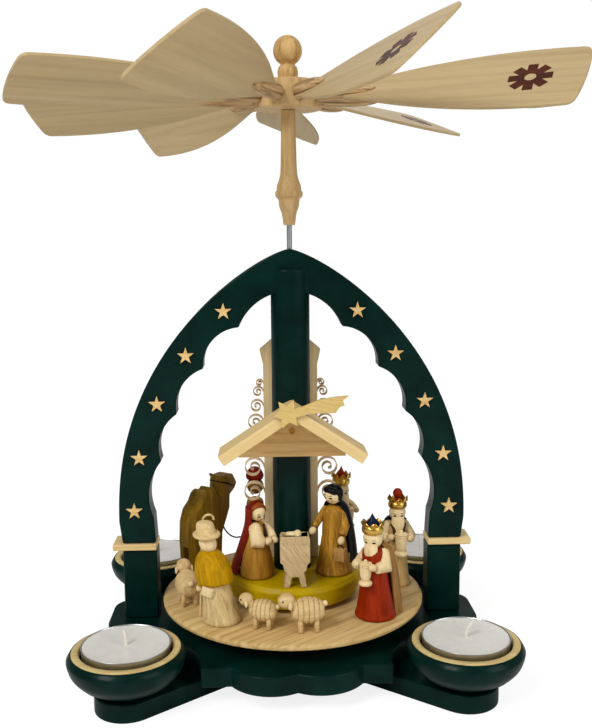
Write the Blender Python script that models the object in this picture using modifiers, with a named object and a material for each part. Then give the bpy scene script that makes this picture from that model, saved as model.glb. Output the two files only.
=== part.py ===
"""Candle carousel: a one-tier wooden Christmas pyramid driven by four tealights.

Nine pitched blades in a hub turn on a steel rod. The rod runs down inside a fixed column
and carries a round plate with figures. Metres, +Z up, the front faces -Y, and the origin
is on the rod's axis at the level of the table.
"""

import math

import bmesh
import bpy
from mathutils import Matrix, Vector

for old in list(bpy.data.objects):
    bpy.data.objects.remove(old, do_unlink=True)

# Fits and facets
CLEARANCE = 0.0003
OVERRUN = 0.002
EMBED = 0.0004
MERGE = 0.00001
FLAT_DEG = 0.5
ROUND_STEPS = 24
SMALL_STEPS = 12
FIGURE_STEPS = 10
LIMB_STEPS = 6
SOCKET_STEPS = 8
ARC_STEPS = 7

# Base
CUP_X = 0.0713
CUP_Y = 0.0565
ARM_THICKNESS = 0.008
ARM_WIDTH = 0.028
BOARD_THICKNESS = 0.0087
BOARD_END_SETBACK = 0.0074
BOARD_HALF_DEPTH = 0.0585
CORNER_CUT_RADIUS = 0.0308
FRONT_LOBE_HALF = 0.027
FRONT_LOBE_REACH = 0.0065
SIDE_LOBE_HALF = 0.018
SIDE_LOBE_REACH = 0.0095
LOBE_BULGE_SHARE = 0.19
SOFT_EDGE = 0.0008

# Arch, posts and trim plates
FRAME_DEPTH = 0.012
POST_PLATE_GAP = 0.0022
POST_WIDTH = 0.0158
POST_HEIGHT = 0.033
TRIM_WIDTH = 0.0204
TRIM_DEPTH = 0.0142
TRIM_THICKNESS = 0.003
ARCH_HEIGHT = 0.136
ARCH_BELLY_SHARE = 0.075
ARCH_FOOT_OUTER_SHARE = 0.984
ARCH_ROUND_POWER_SHARES = (2.2, 0.76)
ARCH_INNER_SHARES = (
    (0.792, 0.0),
    (0.800, 0.089),
    (0.748, 0.287),
    (0.652, 0.449),
    (0.496, 0.603),
    (0.292, 0.741),
)
ARCH_SCALLOP_SHARES = (0.137, 0.172, 0.185, 0.21)
ARCH_CROWN_SCALLOP_SHARE = 0.344
STAR_PLACE_SHARES = (
    (0.377, 0.795),
    (0.593, 0.648),
    (0.762, 0.485),
    (0.872, 0.300),
    (0.909, 0.115),
)
STAR_RADIUS = 0.004
STAR_VALLEY_SHARE = 0.38
STAR_THICKNESS = 0.0012

# Rod, column and stage
ROD_RADIUS = 0.0012
ROD_FIT = 0.0004
BEARING_RADIUS = 0.0042
BEARING_CONE_DEPTH = 0.003
COLUMN_RADIUS = 0.0089
COLUMN_BORE_RADIUS = 0.003
COLUMN_TOP_DROP = 0.0089
SPIGOT_RADIUS = 0.0055
BUSH_LENGTH = 0.008
PLATE_RISE = 0.0076
PLATE_RADIUS = 0.0616
PLATE_THICKNESS = 0.003
BOSS_RADIUS = 0.009
BOSS_RUNNING_GAP = 0.0016
STAGE_RISE = 0.0026
STAGE_RADIUS = 0.032
STAGE_THICKNESS = 0.0095
STAGE_SHARES = ((0.97, 1.0), (1.0, 0.93), (0.995, 0.3), (0.965, 0.0))

# Backboard and its shaved-wood curls
BACKBOARD_WIDTH = 0.0258
BACKBOARD_THICKNESS = 0.005
BACKBOARD_HEIGHT = 0.1148
BACKBOARD_HEAD_SHARES = ((1.0, 0.83), (1.12, 0.893), (0.0, 1.0))
CURL_LEVEL_SHARES = (0.285, 0.391, 0.491, 0.585, 0.654, 0.715, 0.752)
CURL_DIAMETER = 0.0106
CURL_SIZE_SHARES = (1.0, 0.94, 0.83, 0.70, 0.60, 0.46, 0.36)
CURL_TURNS = 1.5
CURL_POINTS_PER_TURN = 8
SHAVING_THICKNESS = 0.0005
CURL_CORE_SHARE = 0.28

# House roof, gable and comet
ROOF_HALF_SPAN = 0.0333
ROOF_RIDGE_RISE = 0.082
ROOF_PITCH_DEG = 33.3
ROOF_THICKNESS = 0.005
ROOF_DEPTH = 0.0185
GABLE_THICKNESS = 0.003
GABLE_HALF_WIDTH = 0.0245
GABLE_BASE_RISE = 0.056
PEG_RADIUS = 0.0015
PEG_RISE = 0.068
PEG_DEPTH = 0.0035
COMET_RADIUS = 0.0068
COMET_THICKNESS = 0.0014
COMET_CENTRE_X = -0.0021
COMET_DROP = 0.0028
COMET_POINT_COUNT = 6
COMET_FIRST_POINT_DEG = 68
COMET_VALLEY_SHARE = 0.55
COMET_TAIL_SHARES = (
    (0.15, 0.30),
    (0.9, 0.48),
    (2.0, 1.02),
    (3.1, 1.26),
    (4.1, 1.30),
    (3.75, 0.98),
    (3.85, 0.62),
    (3.45, 0.42),
    (3.35, 0.05),
    (2.6, 0.02),
    (1.6, 0.03),
    (0.5, -0.25),
)

# Wheel: hub, spindle, finial and blades
HUB_RADIUS = 0.0151
HUB_HEIGHT = 0.012
HUB_BORE_RADIUS = 0.0025
SPINDLE_LENGTH = 0.0508
ROD_EXPOSED = 0.0107
SPINDLE_RADIUS = 0.0062
SPINDLE_SHARES = (
    (0.50, 1.0),
    (0.55, 0.72),
    (0.62, 0.457),
    (0.86, 0.352),
    (0.90, 0.305),
    (1.0, 0.29),
    (1.0, 0.26),
    (0.78, 0.235),
    (0.72, 0.17),
    (0.535, 0.10),
    (0.42, 0.0),
)
SPINDLE_TENON_LENGTH = 0.0055
FINIAL_HEIGHT = 0.0198
FINIAL_RADIUS = 0.0065
FINIAL_SHARES = (
    (0.0, 1.0),
    (0.42, 0.97),
    (0.78, 0.88),
    (0.97, 0.74),
    (0.98, 0.60),
    (0.78, 0.45),
    (0.50, 0.375),
    (0.50, 0.345),
    (0.66, 0.29),
    (0.71, 0.20),
    (0.66, 0.06),
    (0.60, 0.0),
)
FINIAL_TENON_LENGTH = 0.005
BLADE_COUNT = 9
FIRST_BLADE_DEG = -31.9
BLADE_DROOP_DEG = 2
BLADE_PITCHES_DEG = (41.8, 41.5, 32.5, 20, 34.2, 57.6, 21.8, 25.9, 5)
BLADE_SKEWS_DEG = (-0.9, 3.6, 1.2, 0.2, -0.2, 0, 1.3, 1, 0)
BLADE_SLIDES = (0.0029, -0.0039, -0.0007, -0.0028, -0.0011, 0.0032, 0.002, 0.0011, 0.0)
BLADE_RADIUS = 0.125
BLADE_HALF_WIDTH = 0.0188
BLADE_THICKNESS = 0.0014
BLADE_OUTLINE_SHARES = (
    (0.165, 0.17),
    (0.2, 0.21),
    (0.3, 0.411),
    (0.4, 0.605),
    (0.5, 0.761),
    (0.6, 0.878),
    (0.7, 0.957),
    (0.8, 0.998),
    (0.9, 1.0),
    (0.98, 0.975),
    (0.991, 0.93),
    (1.0, 0.84),
    (1.0076, 0.49),
    (1.0102, 0.0),
)
STEM_RADIUS = 0.0038
STEM_END = 0.043
STEM_TENON_RADIUS = 0.0025
STEM_TENON_LENGTH = 0.0044
STEM_TIP_SHARE = 0.4

# Candle bowls and tealights
BOWL_HEIGHT = 0.0176
BOWL_RADIUS = 0.0252
BOWL_OUTER_SHARES = (
    (0.962, 1.0),
    (0.99, 0.93),
    (1.0, 0.82),
    (0.975, 0.66),
    (0.90, 0.44),
    (0.77, 0.24),
    (0.60, 0.09),
    (0.42, 0.0),
)
BOWL_FLOOR = 0.0048
RECESS_RADIUS = 0.0197
REBATE_RADIUS = 0.0239
RING_HEIGHT = 0.0036
RING_STAND = 0.0007
BOWL_TENON_RADIUS = 0.004
BOWL_TENON_LENGTH = 0.005
TEALIGHT_RADIUS = 0.019
TEALIGHT_HEIGHT = 0.0146
TEALIGHT_WALL = 0.0006
TEALIGHT_LIP = 0.0007
WICK_RADIUS = 0.0007
WICK_LENGTH = 0.006

# Turned figures: base radius, chin, brow, hat top, head radius, hat radius, from the soles up
FIGURE_SIZES = {
    "mother_figure": (0.0078, 0.0260, 0.0313, 0.0358, 0.0037, 0.0042),
    "father_figure": (0.0085, 0.0325, 0.0386, 0.0414, 0.0042, 0.0044),
    "shepherd": (0.0087, 0.0314, 0.0370, 0.0440, 0.0037, 0.0060),
    "king_front": (0.0093, 0.0320, 0.0375, 0.0466, 0.0040, 0.0050),
    "king_right": (0.0070, 0.0332, 0.0386, 0.0480, 0.0037, 0.0046),
    "king_rear": (0.0070, 0.0365, 0.0424, 0.0524, 0.0040, 0.0046),
    "camel_driver": (0.0080, 0.0360, 0.0422, 0.0512, 0.0039, 0.0050),
}
FIGURE_PLACES = {
    "mother_figure": (-0.0169, -0.0121),
    "father_figure": (0.0190, -0.0095),
    "shepherd": (-0.0323, -0.0339),
    "king_front": (0.0360, -0.0323),
    "king_right": (0.0504, 0.0050),
    "king_rear": (0.0270, 0.0310),
    "camel_driver": (-0.0180, 0.0360),
}
CAMEL_PLACE = (-0.0430, 0.0290)
MOTHER_HEADING_DEG = -30
FATHER_HEADING_DEG = -125
SHEPHERD_TURN_DEG = 20
HEAD_SHARES = ((0.9, 1.0), (1.0, 0.66), (0.93, 0.36), (0.7, 0.1), (0.4, 0.0))
ROBE_SHARES = (
    (0.2, 0.975),
    (0.46, 0.945),
    (0.56, 0.88),
    (0.56, 0.74),
    (0.6, 0.6),
    (0.74, 0.36),
    (0.9, 0.12),
    (1.0, 0.03),
    (0.97, 0.0),
)
BELL_ROBE_SHARES = (
    (0.2, 0.975),
    (0.44, 0.945),
    (0.55, 0.88),
    (0.57, 0.74),
    (0.64, 0.6),
    (0.82, 0.42),
    (0.94, 0.2),
    (1.0, 0.03),
    (0.97, 0.0),
)
CAPE_ROBE_SHARES = (
    (0.25, 0.985),
    (0.52, 0.95),
    (0.75, 0.86),
    (0.87, 0.72),
    (0.86, 0.58),
    (0.62, 0.555),
    (0.68, 0.42),
    (0.85, 0.2),
    (1.0, 0.03),
    (0.97, 0.0),
)
HAIR_SHARES = ((0.0, 1.0), (0.5, 0.9), (0.85, 0.5), (1.0, 0.0))
CONE_CROWN_SHARES = ((0.0, 1.0), (0.55, 0.45), (0.84, 0.45), (0.97, 0.6), (0.9, 0.3), (0.92, 0.0))
BALL_CROWN_SHARES = (
    (0.0, 1.0),
    (0.34, 0.93),
    (0.48, 0.77),
    (0.34, 0.6),
    (0.34, 0.42),
    (0.84, 0.42),
    (0.97, 0.55),
    (0.9, 0.28),
    (0.92, 0.0),
)
BRIM_HAT_SHARES = (
    (0.0, 1.0),
    (0.4, 0.96),
    (0.62, 0.8),
    (0.7, 0.3),
    (0.98, 0.25),
    (1.0, 0.16),
    (0.9, 0.1),
    (0.62, 0.0),
)
TURBAN_SHARES = ((0.0, 1.0), (0.45, 0.93), (0.74, 0.72), (1.0, 0.35), (0.92, 0.08), (0.8, 0.0))
SHOULDER_SHARES = (0.05, 0.48, 0.9)
ELBOW_SHARES = (0.3, 0.82, 0.66)
SLEEVE_RADIUS = 0.0016
HAND_RADIUS = 0.0018
GOBLET_RADIUS = 0.0031
GOBLET_HEIGHT = 0.0108
GOBLET_PLACE_SHARES = (1.14, 0.53)
GOBLET_SHARES = (
    (0.0, 0.9),
    (0.76, 0.9),
    (0.82, 1.0),
    (1.0, 0.97),
    (0.8, 0.82),
    (0.86, 0.6),
    (0.8, 0.35),
    (0.6, 0.16),
    (1.0, 0.08),
    (0.95, 0.0),
    (0.0, 0.0),
)
BAG_SIZE = (0.0030, 0.0052, 0.0058)
BAG_DROP = 0.0038
BAG_HANDLE_RADIUS = 0.0005
SATCHEL_SIZE = (0.0062, 0.0026, 0.0046)
SHEPHERD_LEAN_SHARE = 0.18
KING_LEAN_SHARE = 0.05
CROOK_RADIUS = 0.0006
CROOK_HOOK_RADIUS = 0.0024
CROOK_FOOT_SHARES = (1.17, 0.11, 0.0)
CROOK_TOP_SHARES = (1.2, -0.45, 1.34)
MANGER_WIDTH = 0.0134
MANGER_HEIGHT = 0.0238
MANGER_DEPTH = 0.009
MANGER_Y = -0.025
MANGER_X = 0.0004
MANGER_SHARES = (
    (0.18, 0.0),
    (0.11, 0.2),
    (0.37, 0.0),
    (0.29, 0.3),
    (0.37, 0.32),
    (0.37, 0.47),
    (0.5, 0.53),
    (0.5, 1.0),
)
CRIB_DEPTH = 0.0035
CRIB_WALL = 0.0012
CHILD_HEAD_RADIUS = 0.0020
CHILD_BODY_RADIUS = 0.0017
SHEEP_SIZES = {"sheep_1": 0.0146, "sheep_2": 0.0113, "sheep_3": 0.0130}
SHEEP_PLACES = {"sheep_1": (-0.0490, -0.0140), "sheep_2": (-0.0140, -0.0420), "sheep_3": (0.0050, -0.0450)}
SHEEP_RIBS = 6
CAMEL_LENGTH = 0.034
CAMEL_HEIGHT = 0.0467
CAMEL_WIDTH = 0.010
CAMEL_EDGE = 0.0013
CAMEL_SHARES = (
    (-0.47, 0.0),
    (-0.31, 0.0),
    (-0.27, 0.36),
    (0.02, 0.36),
    (0.05, 0.0),
    (0.22, 0.0),
    (0.26, 0.38),
    (0.36, 0.50),
    (0.45, 0.62),
    (0.46, 0.755),
    (0.57, 0.80),
    (0.65, 0.88),
    (0.56, 0.98),
    (0.47, 1.0),
    (0.27, 1.0),
    (0.24, 0.83),
    (0.15, 0.82),
    (0.09, 0.90),
    (0.02, 0.92),
    (-0.06, 0.86),
    (-0.12, 0.915),
    (-0.20, 0.90),
    (-0.27, 0.82),
    (-0.40, 0.75),
    (-0.48, 0.62),
    (-0.50, 0.42),
)
STRING_RADIUS = 0.0004
STRING_ROUTE = (
    (-0.03637, 0.04491, 0.06710),
    (-0.03650, 0.04500, 0.06450),
    (-0.03662, 0.04505, 0.06180),
    (-0.03670, 0.04505, 0.05900),
    (-0.03672, 0.04500, 0.05620),
    (-0.03666, 0.04485, 0.05340),
    (-0.03645, 0.04465, 0.05070),
    (-0.03600, 0.04435, 0.04820),
    (-0.03530, 0.04395, 0.04590),
    (-0.03435, 0.04350, 0.04390),
    (-0.03320, 0.04305, 0.04230),
    (-0.03190, 0.04255, 0.04110),
    (-0.03050, 0.04205, 0.04030),
    (-0.02900, 0.04150, 0.03990),
    (-0.02750, 0.04095, 0.03995),
    (-0.02600, 0.04040, 0.04045),
)

# Places and levels that follow from the sizes above
POST_INNER_X = PLATE_RADIUS + POST_PLATE_GAP
POST_OUTER_X = POST_INNER_X + POST_WIDTH
ARCH_HALF_WIDTH = POST_OUTER_X / ARCH_FOOT_OUTER_SHARE
BOARD_HALF_LENGTH = POST_OUTER_X + BOARD_END_SETBACK - SIDE_LOBE_REACH
BOARD_BOTTOM = ARM_THICKNESS + CLEARANCE
BOARD_TOP = BOARD_BOTTOM + BOARD_THICKNESS
POST_BOTTOM = BOARD_TOP + CLEARANCE
TRIM_BOTTOM = POST_BOTTOM + POST_HEIGHT + CLEARANCE
ARCH_FOOT = TRIM_BOTTOM + TRIM_THICKNESS + CLEARANCE
PLATE_BOTTOM = BOARD_TOP + PLATE_RISE
PLATE_TOP = PLATE_BOTTOM + PLATE_THICKNESS
STAGE_BOTTOM = PLATE_TOP + STAGE_RISE
STAGE_TOP = STAGE_BOTTOM + STAGE_THICKNESS
ON_STAGE = STAGE_TOP + CLEARANCE
ON_PLATE = PLATE_TOP + CLEARANCE
ARCH_APEX = ARCH_FOOT + ARCH_HEIGHT
COLUMN_TOP = ARCH_APEX - COLUMN_TOP_DROP
HUB_BOTTOM = ARCH_APEX + ROD_EXPOSED + SPINDLE_LENGTH
HUB_TOP = HUB_BOTTOM + HUB_HEIGHT
BLADE_LEVEL = HUB_BOTTOM + HUB_HEIGHT / 2
CUP_PLACES = {
    "front_left": (-CUP_X, -CUP_Y),
    "front_right": (CUP_X, -CUP_Y),
    "rear_left": (-CUP_X, CUP_Y),
    "rear_right": (CUP_X, CUP_Y),
}
CUP_RADIAL_ANGLE = math.atan2(CUP_Y, CUP_X)

PARTS = bpy.data.collections.new("candle_carousel")
bpy.context.scene.collection.children.link(PARTS)


def material(name, colour, roughness, metallic=0.0):
    """A Principled material from an sRGB colour."""
    made = bpy.data.materials.new(name)
    made.use_nodes = True
    shader = made.node_tree.nodes["Principled BSDF"]
    linear = [((c / 255 + 0.055) / 1.055) ** 2.4 if c > 10 else c / 255 / 12.92 for c in colour]
    shader.inputs["Base Color"].default_value = (*linear, 1.0)
    shader.inputs["Roughness"].default_value = roughness
    shader.inputs["Metallic"].default_value = metallic
    made.diffuse_color = (*linear, 1.0)
    return made


GREEN = material("dark_green_lacquer", (10, 38, 34), 0.25)
MAPLE = material("pale_maple", (214, 181, 128), 0.45)
BEECH = material("oiled_beech", (168, 122, 66), 0.45)
BLADE_WOOD = material("blade_basswood", (186, 160, 112), 0.55)
PLATE_WOOD = material("striped_ash", (178, 134, 78), 0.45)
OLIVE = material("olive_yellow_stain", (140, 118, 28), 0.5)
WALNUT = material("walnut_brown_stain", (92, 58, 28), 0.5)
RED = material("dark_red_stain", (104, 12, 12), 0.45)
OCHRE = material("ochre_stain", (172, 122, 34), 0.5)
CAMEL_BROWN = material("olive_brown_stain", (78, 56, 20), 0.55)
STEEL = material("bright_steel", (190, 190, 190), 0.25, 1.0)
BRASS = material("brass", (190, 150, 70), 0.3, 1.0)
TIN = material("tealight_aluminium", (200, 200, 200), 0.3, 1.0)
DARK_STRING = material("dark_string", (40, 36, 30), 0.8)


# Helpers
def add(name, mesh, mat=None):
    """Link a mesh to the scene as an object."""
    obj = bpy.data.objects.new(name, mesh)
    if mat:
        mesh.materials.clear()
        mesh.materials.append(mat)
    PARTS.objects.link(obj)
    return obj


def baked(obj, flat=False):
    """The object with its modifiers and transform applied, as a welded mesh with whole flat faces."""
    bpy.context.view_layer.update()
    graph = bpy.context.evaluated_depsgraph_get()
    mesh = bpy.data.meshes.new_from_object(obj.evaluated_get(graph))
    mesh.transform(obj.matrix_world)
    work = bmesh.new()
    work.from_mesh(mesh)
    bmesh.ops.remove_doubles(work, verts=work.verts, dist=MERGE)
    if flat:
        limit = math.radians(FLAT_DEG)
        bmesh.ops.dissolve_limit(work, angle_limit=limit, verts=work.verts, edges=work.edges)
    work.to_mesh(mesh)
    work.free()
    name = obj.name
    mat = obj.data.materials[0] if obj.data.materials else None
    bpy.data.objects.remove(obj, do_unlink=True)
    return add(name, mesh, mat)


def lathe(name, profile, steps=ROUND_STEPS, closed=False, mat=None, at=(0, 0, 0)):
    """Turn (radius, height) points about Z; the profile runs down its outer side."""
    count = len(profile)
    edges = [(i, i + 1) for i in range(count - 1)]
    if closed:
        edges.append((count - 1, 0))
    mesh = bpy.data.meshes.new(name)
    mesh.from_pydata([(r, 0, z) for r, z in profile], edges, [])
    obj = add(name, mesh, mat)
    screw = obj.modifiers.new("turn", "SCREW")
    screw.steps = steps
    screw.render_steps = steps
    screw.use_merge_vertices = True
    screw.merge_threshold = MERGE
    obj.location = at
    return baked(obj)


def scaled(shares, radius, height, bottom=0.0):
    """Profile shares as real (radius, height) points."""
    return [(r * radius, bottom + z * height) for r, z in shares]


def prism(name, loops, thickness, upright=False, mat=None, at=(0, 0, 0)):
    """A flat outline with a thickness, lying flat or standing in the XZ plane."""
    curve = bpy.data.curves.new(name, "CURVE")
    curve.dimensions = "2D"
    curve.fill_mode = "BOTH"
    curve.extrude = thickness / 2
    for loop in loops:
        spline = curve.splines.new("POLY")
        spline.points.add(len(loop) - 1)
        for point, (x, y) in zip(spline.points, loop):
            point.co = (x, y, 0, 1)
        spline.use_cyclic_u = True
    obj = bpy.data.objects.new(name, curve)
    if mat:
        curve.materials.append(mat)
    PARTS.objects.link(obj)
    obj.location = at
    if upright:
        obj.rotation_euler.x = math.pi / 2
    return baked(obj, flat=True)


def block(name, size, at, mat=None):
    """A box of the given size centred at a point."""
    mesh = bpy.data.meshes.new(name)
    work = bmesh.new()
    bmesh.ops.create_cube(work, size=1.0, matrix=Matrix.Translation(at) @ Matrix.Diagonal((*size, 1)))
    work.to_mesh(mesh)
    work.free()
    return add(name, mesh, mat)


def limb(start, end, radius, end_radius, steps=8):
    """A tapered rod between two points."""
    start, end = Vector(start), Vector(end)
    along = end - start
    turn = Vector((0, 0, 1)).rotation_difference(along).to_matrix().to_4x4()
    mesh = bpy.data.meshes.new("limb")
    work = bmesh.new()
    bmesh.ops.create_cone(
        work,
        cap_ends=True,
        segments=steps,
        radius1=radius,
        radius2=end_radius,
        depth=along.length,
        matrix=Matrix.Translation((start + end) / 2) @ turn,
    )
    work.to_mesh(mesh)
    work.free()
    return add("limb", mesh)


def ball(centre, radius, squash=(1, 1, 1), detail=2):
    """A ball, or an egg with unlike shares of the radius along each axis."""
    mesh = bpy.data.meshes.new("ball")
    work = bmesh.new()
    place = Matrix.Translation(centre) @ Matrix.Diagonal((*squash, 1))
    bmesh.ops.create_icosphere(work, subdivisions=detail, radius=radius, matrix=place)
    work.to_mesh(mesh)
    work.free()
    return add("ball", mesh)


def tube(points, radius, resolution=1, name="tube"):
    """A round tube along a line of points."""
    curve = bpy.data.curves.new(name, "CURVE")
    curve.dimensions = "3D"
    curve.bevel_depth = radius
    curve.bevel_resolution = resolution
    curve.use_fill_caps = True
    spline = curve.splines.new("POLY")
    spline.points.add(len(points) - 1)
    for point, place in zip(spline.points, points):
        point.co = (*place, 1)
    obj = bpy.data.objects.new(name, curve)
    PARTS.objects.link(obj)
    return baked(obj)


def boolean(obj, tool, operation):
    """Cut or join with one exact Boolean, then drop the tool."""
    step = obj.modifiers.new("shape", "BOOLEAN")
    step.operation = operation
    step.solver = "EXACT"
    step.object = tool
    result = baked(obj)
    bpy.data.objects.remove(tool, do_unlink=True)
    return result


def cut(obj, *tools):
    for tool in tools:
        obj = boolean(obj, tool, "DIFFERENCE")
    return obj


def join(obj, *tools):
    for tool in tools:
        obj = boolean(obj, tool, "UNION")
    return obj


def moved(obj, matrix):
    """Move a mesh by a matrix, in its own vertices."""
    obj.data.transform(matrix)
    return obj


def leaning(obj, lean, pivot=0.0):
    """Slant a mesh towards +X by a share of the height above a level."""
    slant = Matrix.Identity(4)
    slant[0][2] = lean
    slant[0][3] = -lean * pivot
    return moved(obj, slant)


def finish(obj, name, mat, edge=0.0, angle_deg=35):
    """Name a piece, colour it, round its edges a little and shade it smooth."""
    obj.name = name
    obj.data.name = name
    obj.data.materials.clear()
    obj.data.materials.append(mat)
    if edge:
        rounding = obj.modifiers.new("edges", "BEVEL")
        rounding.width = edge
        rounding.segments = 1
        rounding.limit_method = "ANGLE"
        rounding.angle_limit = math.radians(angle_deg)
    obj.data.shade_smooth()
    obj.data.set_sharp_from_angle(angle=math.radians(angle_deg))
    return obj


def arc(centre, radius, start_deg, end_deg, steps=ARC_STEPS):
    """Points along a circular arc, both ends included."""
    turns = [math.radians(start_deg + (end_deg - start_deg) * i / steps) for i in range(steps + 1)]
    return [(centre[0] + radius * math.cos(t), centre[1] + radius * math.sin(t)) for t in turns]


def bulged(start, end, share, steps=ARC_STEPS):
    """An arc between two points that bulges to the right of the way by a share of its chord."""
    start, end = Vector(start), Vector(end)
    chord = end - start
    rise = abs(share) * chord.length
    radius = (chord.length**2 / 4 + rise**2) / (2 * rise)
    side = Vector((chord.y, -chord.x)).normalized() * math.copysign(1, share)
    centre = (start + end) / 2 - side * (radius - rise)
    first = start - centre
    sweep = math.copysign(2 * math.asin(min(1.0, chord.length / 2 / radius)), share)
    return [tuple(centre + Matrix.Rotation(sweep * i / steps, 2) @ first) for i in range(steps + 1)]


def star(centre, radius, valley_share, count, first_deg):
    """The outline of a star."""
    points = []
    for i in range(2 * count):
        reach = radius if i % 2 == 0 else radius * valley_share
        turn = math.radians(first_deg + 180 * i / count)
        points.append((centre[0] + reach * math.cos(turn), centre[1] + reach * math.sin(turn)))
    return points


# Base
def arm_outline(widen=0.0, shorten=0.0):
    """A long arm with round ends that are centred on the two bowls."""
    reach = math.hypot(CUP_X, CUP_Y) - shorten
    radius = ARM_WIDTH / 2 + widen
    return arc((reach, 0), radius, -90, 90) + arc((-reach, 0), radius, 90, 270)


def base_arms():
    """Two arms that cross in a half lap, with a hole for each bowl's tenon."""
    arms = []
    for turn in (CUP_RADIAL_ANGLE, -CUP_RADIAL_ANGLE):
        arm = prism("arm", [arm_outline()], ARM_THICKNESS, at=(0, 0, ARM_THICKNESS / 2))
        arms.append(moved(arm, Matrix.Rotation(turn, 4, "Z")))
    lap = ARM_THICKNESS / 2 + OVERRUN
    for i, (turn, level) in enumerate(((-CUP_RADIAL_ANGLE, 1), (CUP_RADIAL_ANGLE, -1))):
        middle = ARM_THICKNESS / 2 + level * (lap / 2 - CLEARANCE / 2)
        notch = prism("notch", [arm_outline(CLEARANCE)], lap, at=(0, 0, middle))
        arms[i] = cut(arms[i], moved(notch, Matrix.Rotation(turn, 4, "Z")))
    for i, sides in enumerate((("front_left", "rear_right"), ("front_right", "rear_left"))):
        for side in sides:
            hole = limb(
                (*CUP_PLACES[side], ARM_THICKNESS - BOWL_TENON_LENGTH - CLEARANCE),
                (*CUP_PLACES[side], ARM_THICKNESS + OVERRUN),
                BOWL_TENON_RADIUS + CLEARANCE,
                BOWL_TENON_RADIUS + CLEARANCE,
                SMALL_STEPS,
            )
            arms[i] = cut(arms[i], hole)
    finish(arms[0], "base_arm_left_front", GREEN)
    finish(arms[1], "base_arm_right_front", GREEN)


def board_outline():
    """One quarter of the board, mirrored: double front lobes, side lobes and round corner cuts."""
    front = BOARD_HALF_DEPTH + FRONT_LOBE_REACH
    lobe = bulged((0, front), (FRONT_LOBE_HALF, BOARD_HALF_DEPTH + SOFT_EDGE), -LOBE_BULGE_SHARE)
    drop = math.asin((CUP_Y - BOARD_HALF_DEPTH) / CORNER_CUT_RADIUS)
    start = 180 + math.degrees(drop)
    end = 270 + math.degrees(math.asin((BOARD_HALF_LENGTH - CUP_X) / CORNER_CUT_RADIUS))
    corner = arc((CUP_X, CUP_Y), CORNER_CUT_RADIUS, start, end)
    side = BOARD_HALF_LENGTH + SIDE_LOBE_REACH
    round_off = arc(
        (side - SIDE_LOBE_REACH, SIDE_LOBE_HALF - SIDE_LOBE_REACH), SIDE_LOBE_REACH, 90, 0, ARC_STEPS
    )
    step_in = [(FRONT_LOBE_HALF + SOFT_EDGE, BOARD_HALF_DEPTH - SOFT_EDGE / 2)]
    quarter = lobe + step_in + corner + round_off
    half = quarter + [(x, -y) for x, y in reversed(quarter)]
    return half + [(-x, y) for x, y in reversed(half)][1:-1]


def base_board():
    middle = BOARD_BOTTOM + BOARD_THICKNESS / 2
    board = prism("board", [board_outline()], BOARD_THICKNESS, at=(0, 0, middle))
    socket = limb(
        (0, 0, BOARD_BOTTOM - OVERRUN),
        (0, 0, BOARD_TOP + OVERRUN),
        BEARING_RADIUS + CLEARANCE,
        BEARING_RADIUS + CLEARANCE,
        SMALL_STEPS,
    )
    finish(cut(board, socket), "base_board", GREEN)


def bearing_cup():
    """A brass cup with a cone in which the pointed rod turns."""
    top = BOARD_TOP
    bottom = BOARD_BOTTOM
    profile = [
        (0, top - BEARING_CONE_DEPTH),
        (BEARING_RADIUS * 0.6, top),
        (BEARING_RADIUS, top),
        (BEARING_RADIUS, bottom),
        (0, bottom),
    ]
    finish(lathe("bearing", profile, SMALL_STEPS), "bearing_cup", BRASS)


# Arch
def post_centre_x():
    return POST_INNER_X + POST_WIDTH / 2


def posts_and_trims():
    for side, name in ((-1, "left"), (1, "right")):
        post = block(
            "post",
            (POST_WIDTH, FRAME_DEPTH, POST_HEIGHT),
            (side * post_centre_x(), 0, POST_BOTTOM + POST_HEIGHT / 2),
        )
        finish(post, "lower_post_" + name, GREEN, SOFT_EDGE)
        trim = block(
            "trim",
            (TRIM_WIDTH, TRIM_DEPTH, TRIM_THICKNESS),
            (side * (POST_INNER_X + TRIM_WIDTH / 2), 0, TRIM_BOTTOM + TRIM_THICKNESS / 2),
        )
        finish(trim, "trim_plate_" + name, MAPLE, SOFT_EDGE)


def arch_point(share):
    return (share[0] * ARCH_HALF_WIDTH, ARCH_FOOT + share[1] * ARCH_HEIGHT)


def arch_outer():
    """The right outer edge, from the foot to the apex: upright, then a pointed round."""
    power, root = ARCH_ROUND_POWER_SHARES
    points = [arch_point((ARCH_FOOT_OUTER_SHARE, 0)), arch_point((1.0, ARCH_BELLY_SHARE))]
    steps = 3 * ARC_STEPS
    for i in range(1, steps + 1):
        t = math.sin(math.pi / 2 * i / steps)
        height = ARCH_BELLY_SHARE + (1 - ARCH_BELLY_SHARE) * t
        points.append(arch_point(((1 - t**power) ** root, height)))
    return points


def arch_inner():
    """The right inner edge, from the crown to the foot: round scallops that meet in cusps."""
    marks = [arch_point(share) for share in ARCH_INNER_SHARES]
    crown_mark = marks[-1]
    crown = bulged((-crown_mark[0], crown_mark[1]), crown_mark, -ARCH_CROWN_SCALLOP_SHARE, 2 * ARC_STEPS)
    points = crown[ARC_STEPS:]
    bows = (0.0,) + ARCH_SCALLOP_SHARES
    for i in range(len(marks) - 1, 1, -1):
        points += bulged(marks[i], marks[i - 1], -bows[i - 1])[1:]
    return points + [marks[0]]


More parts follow.
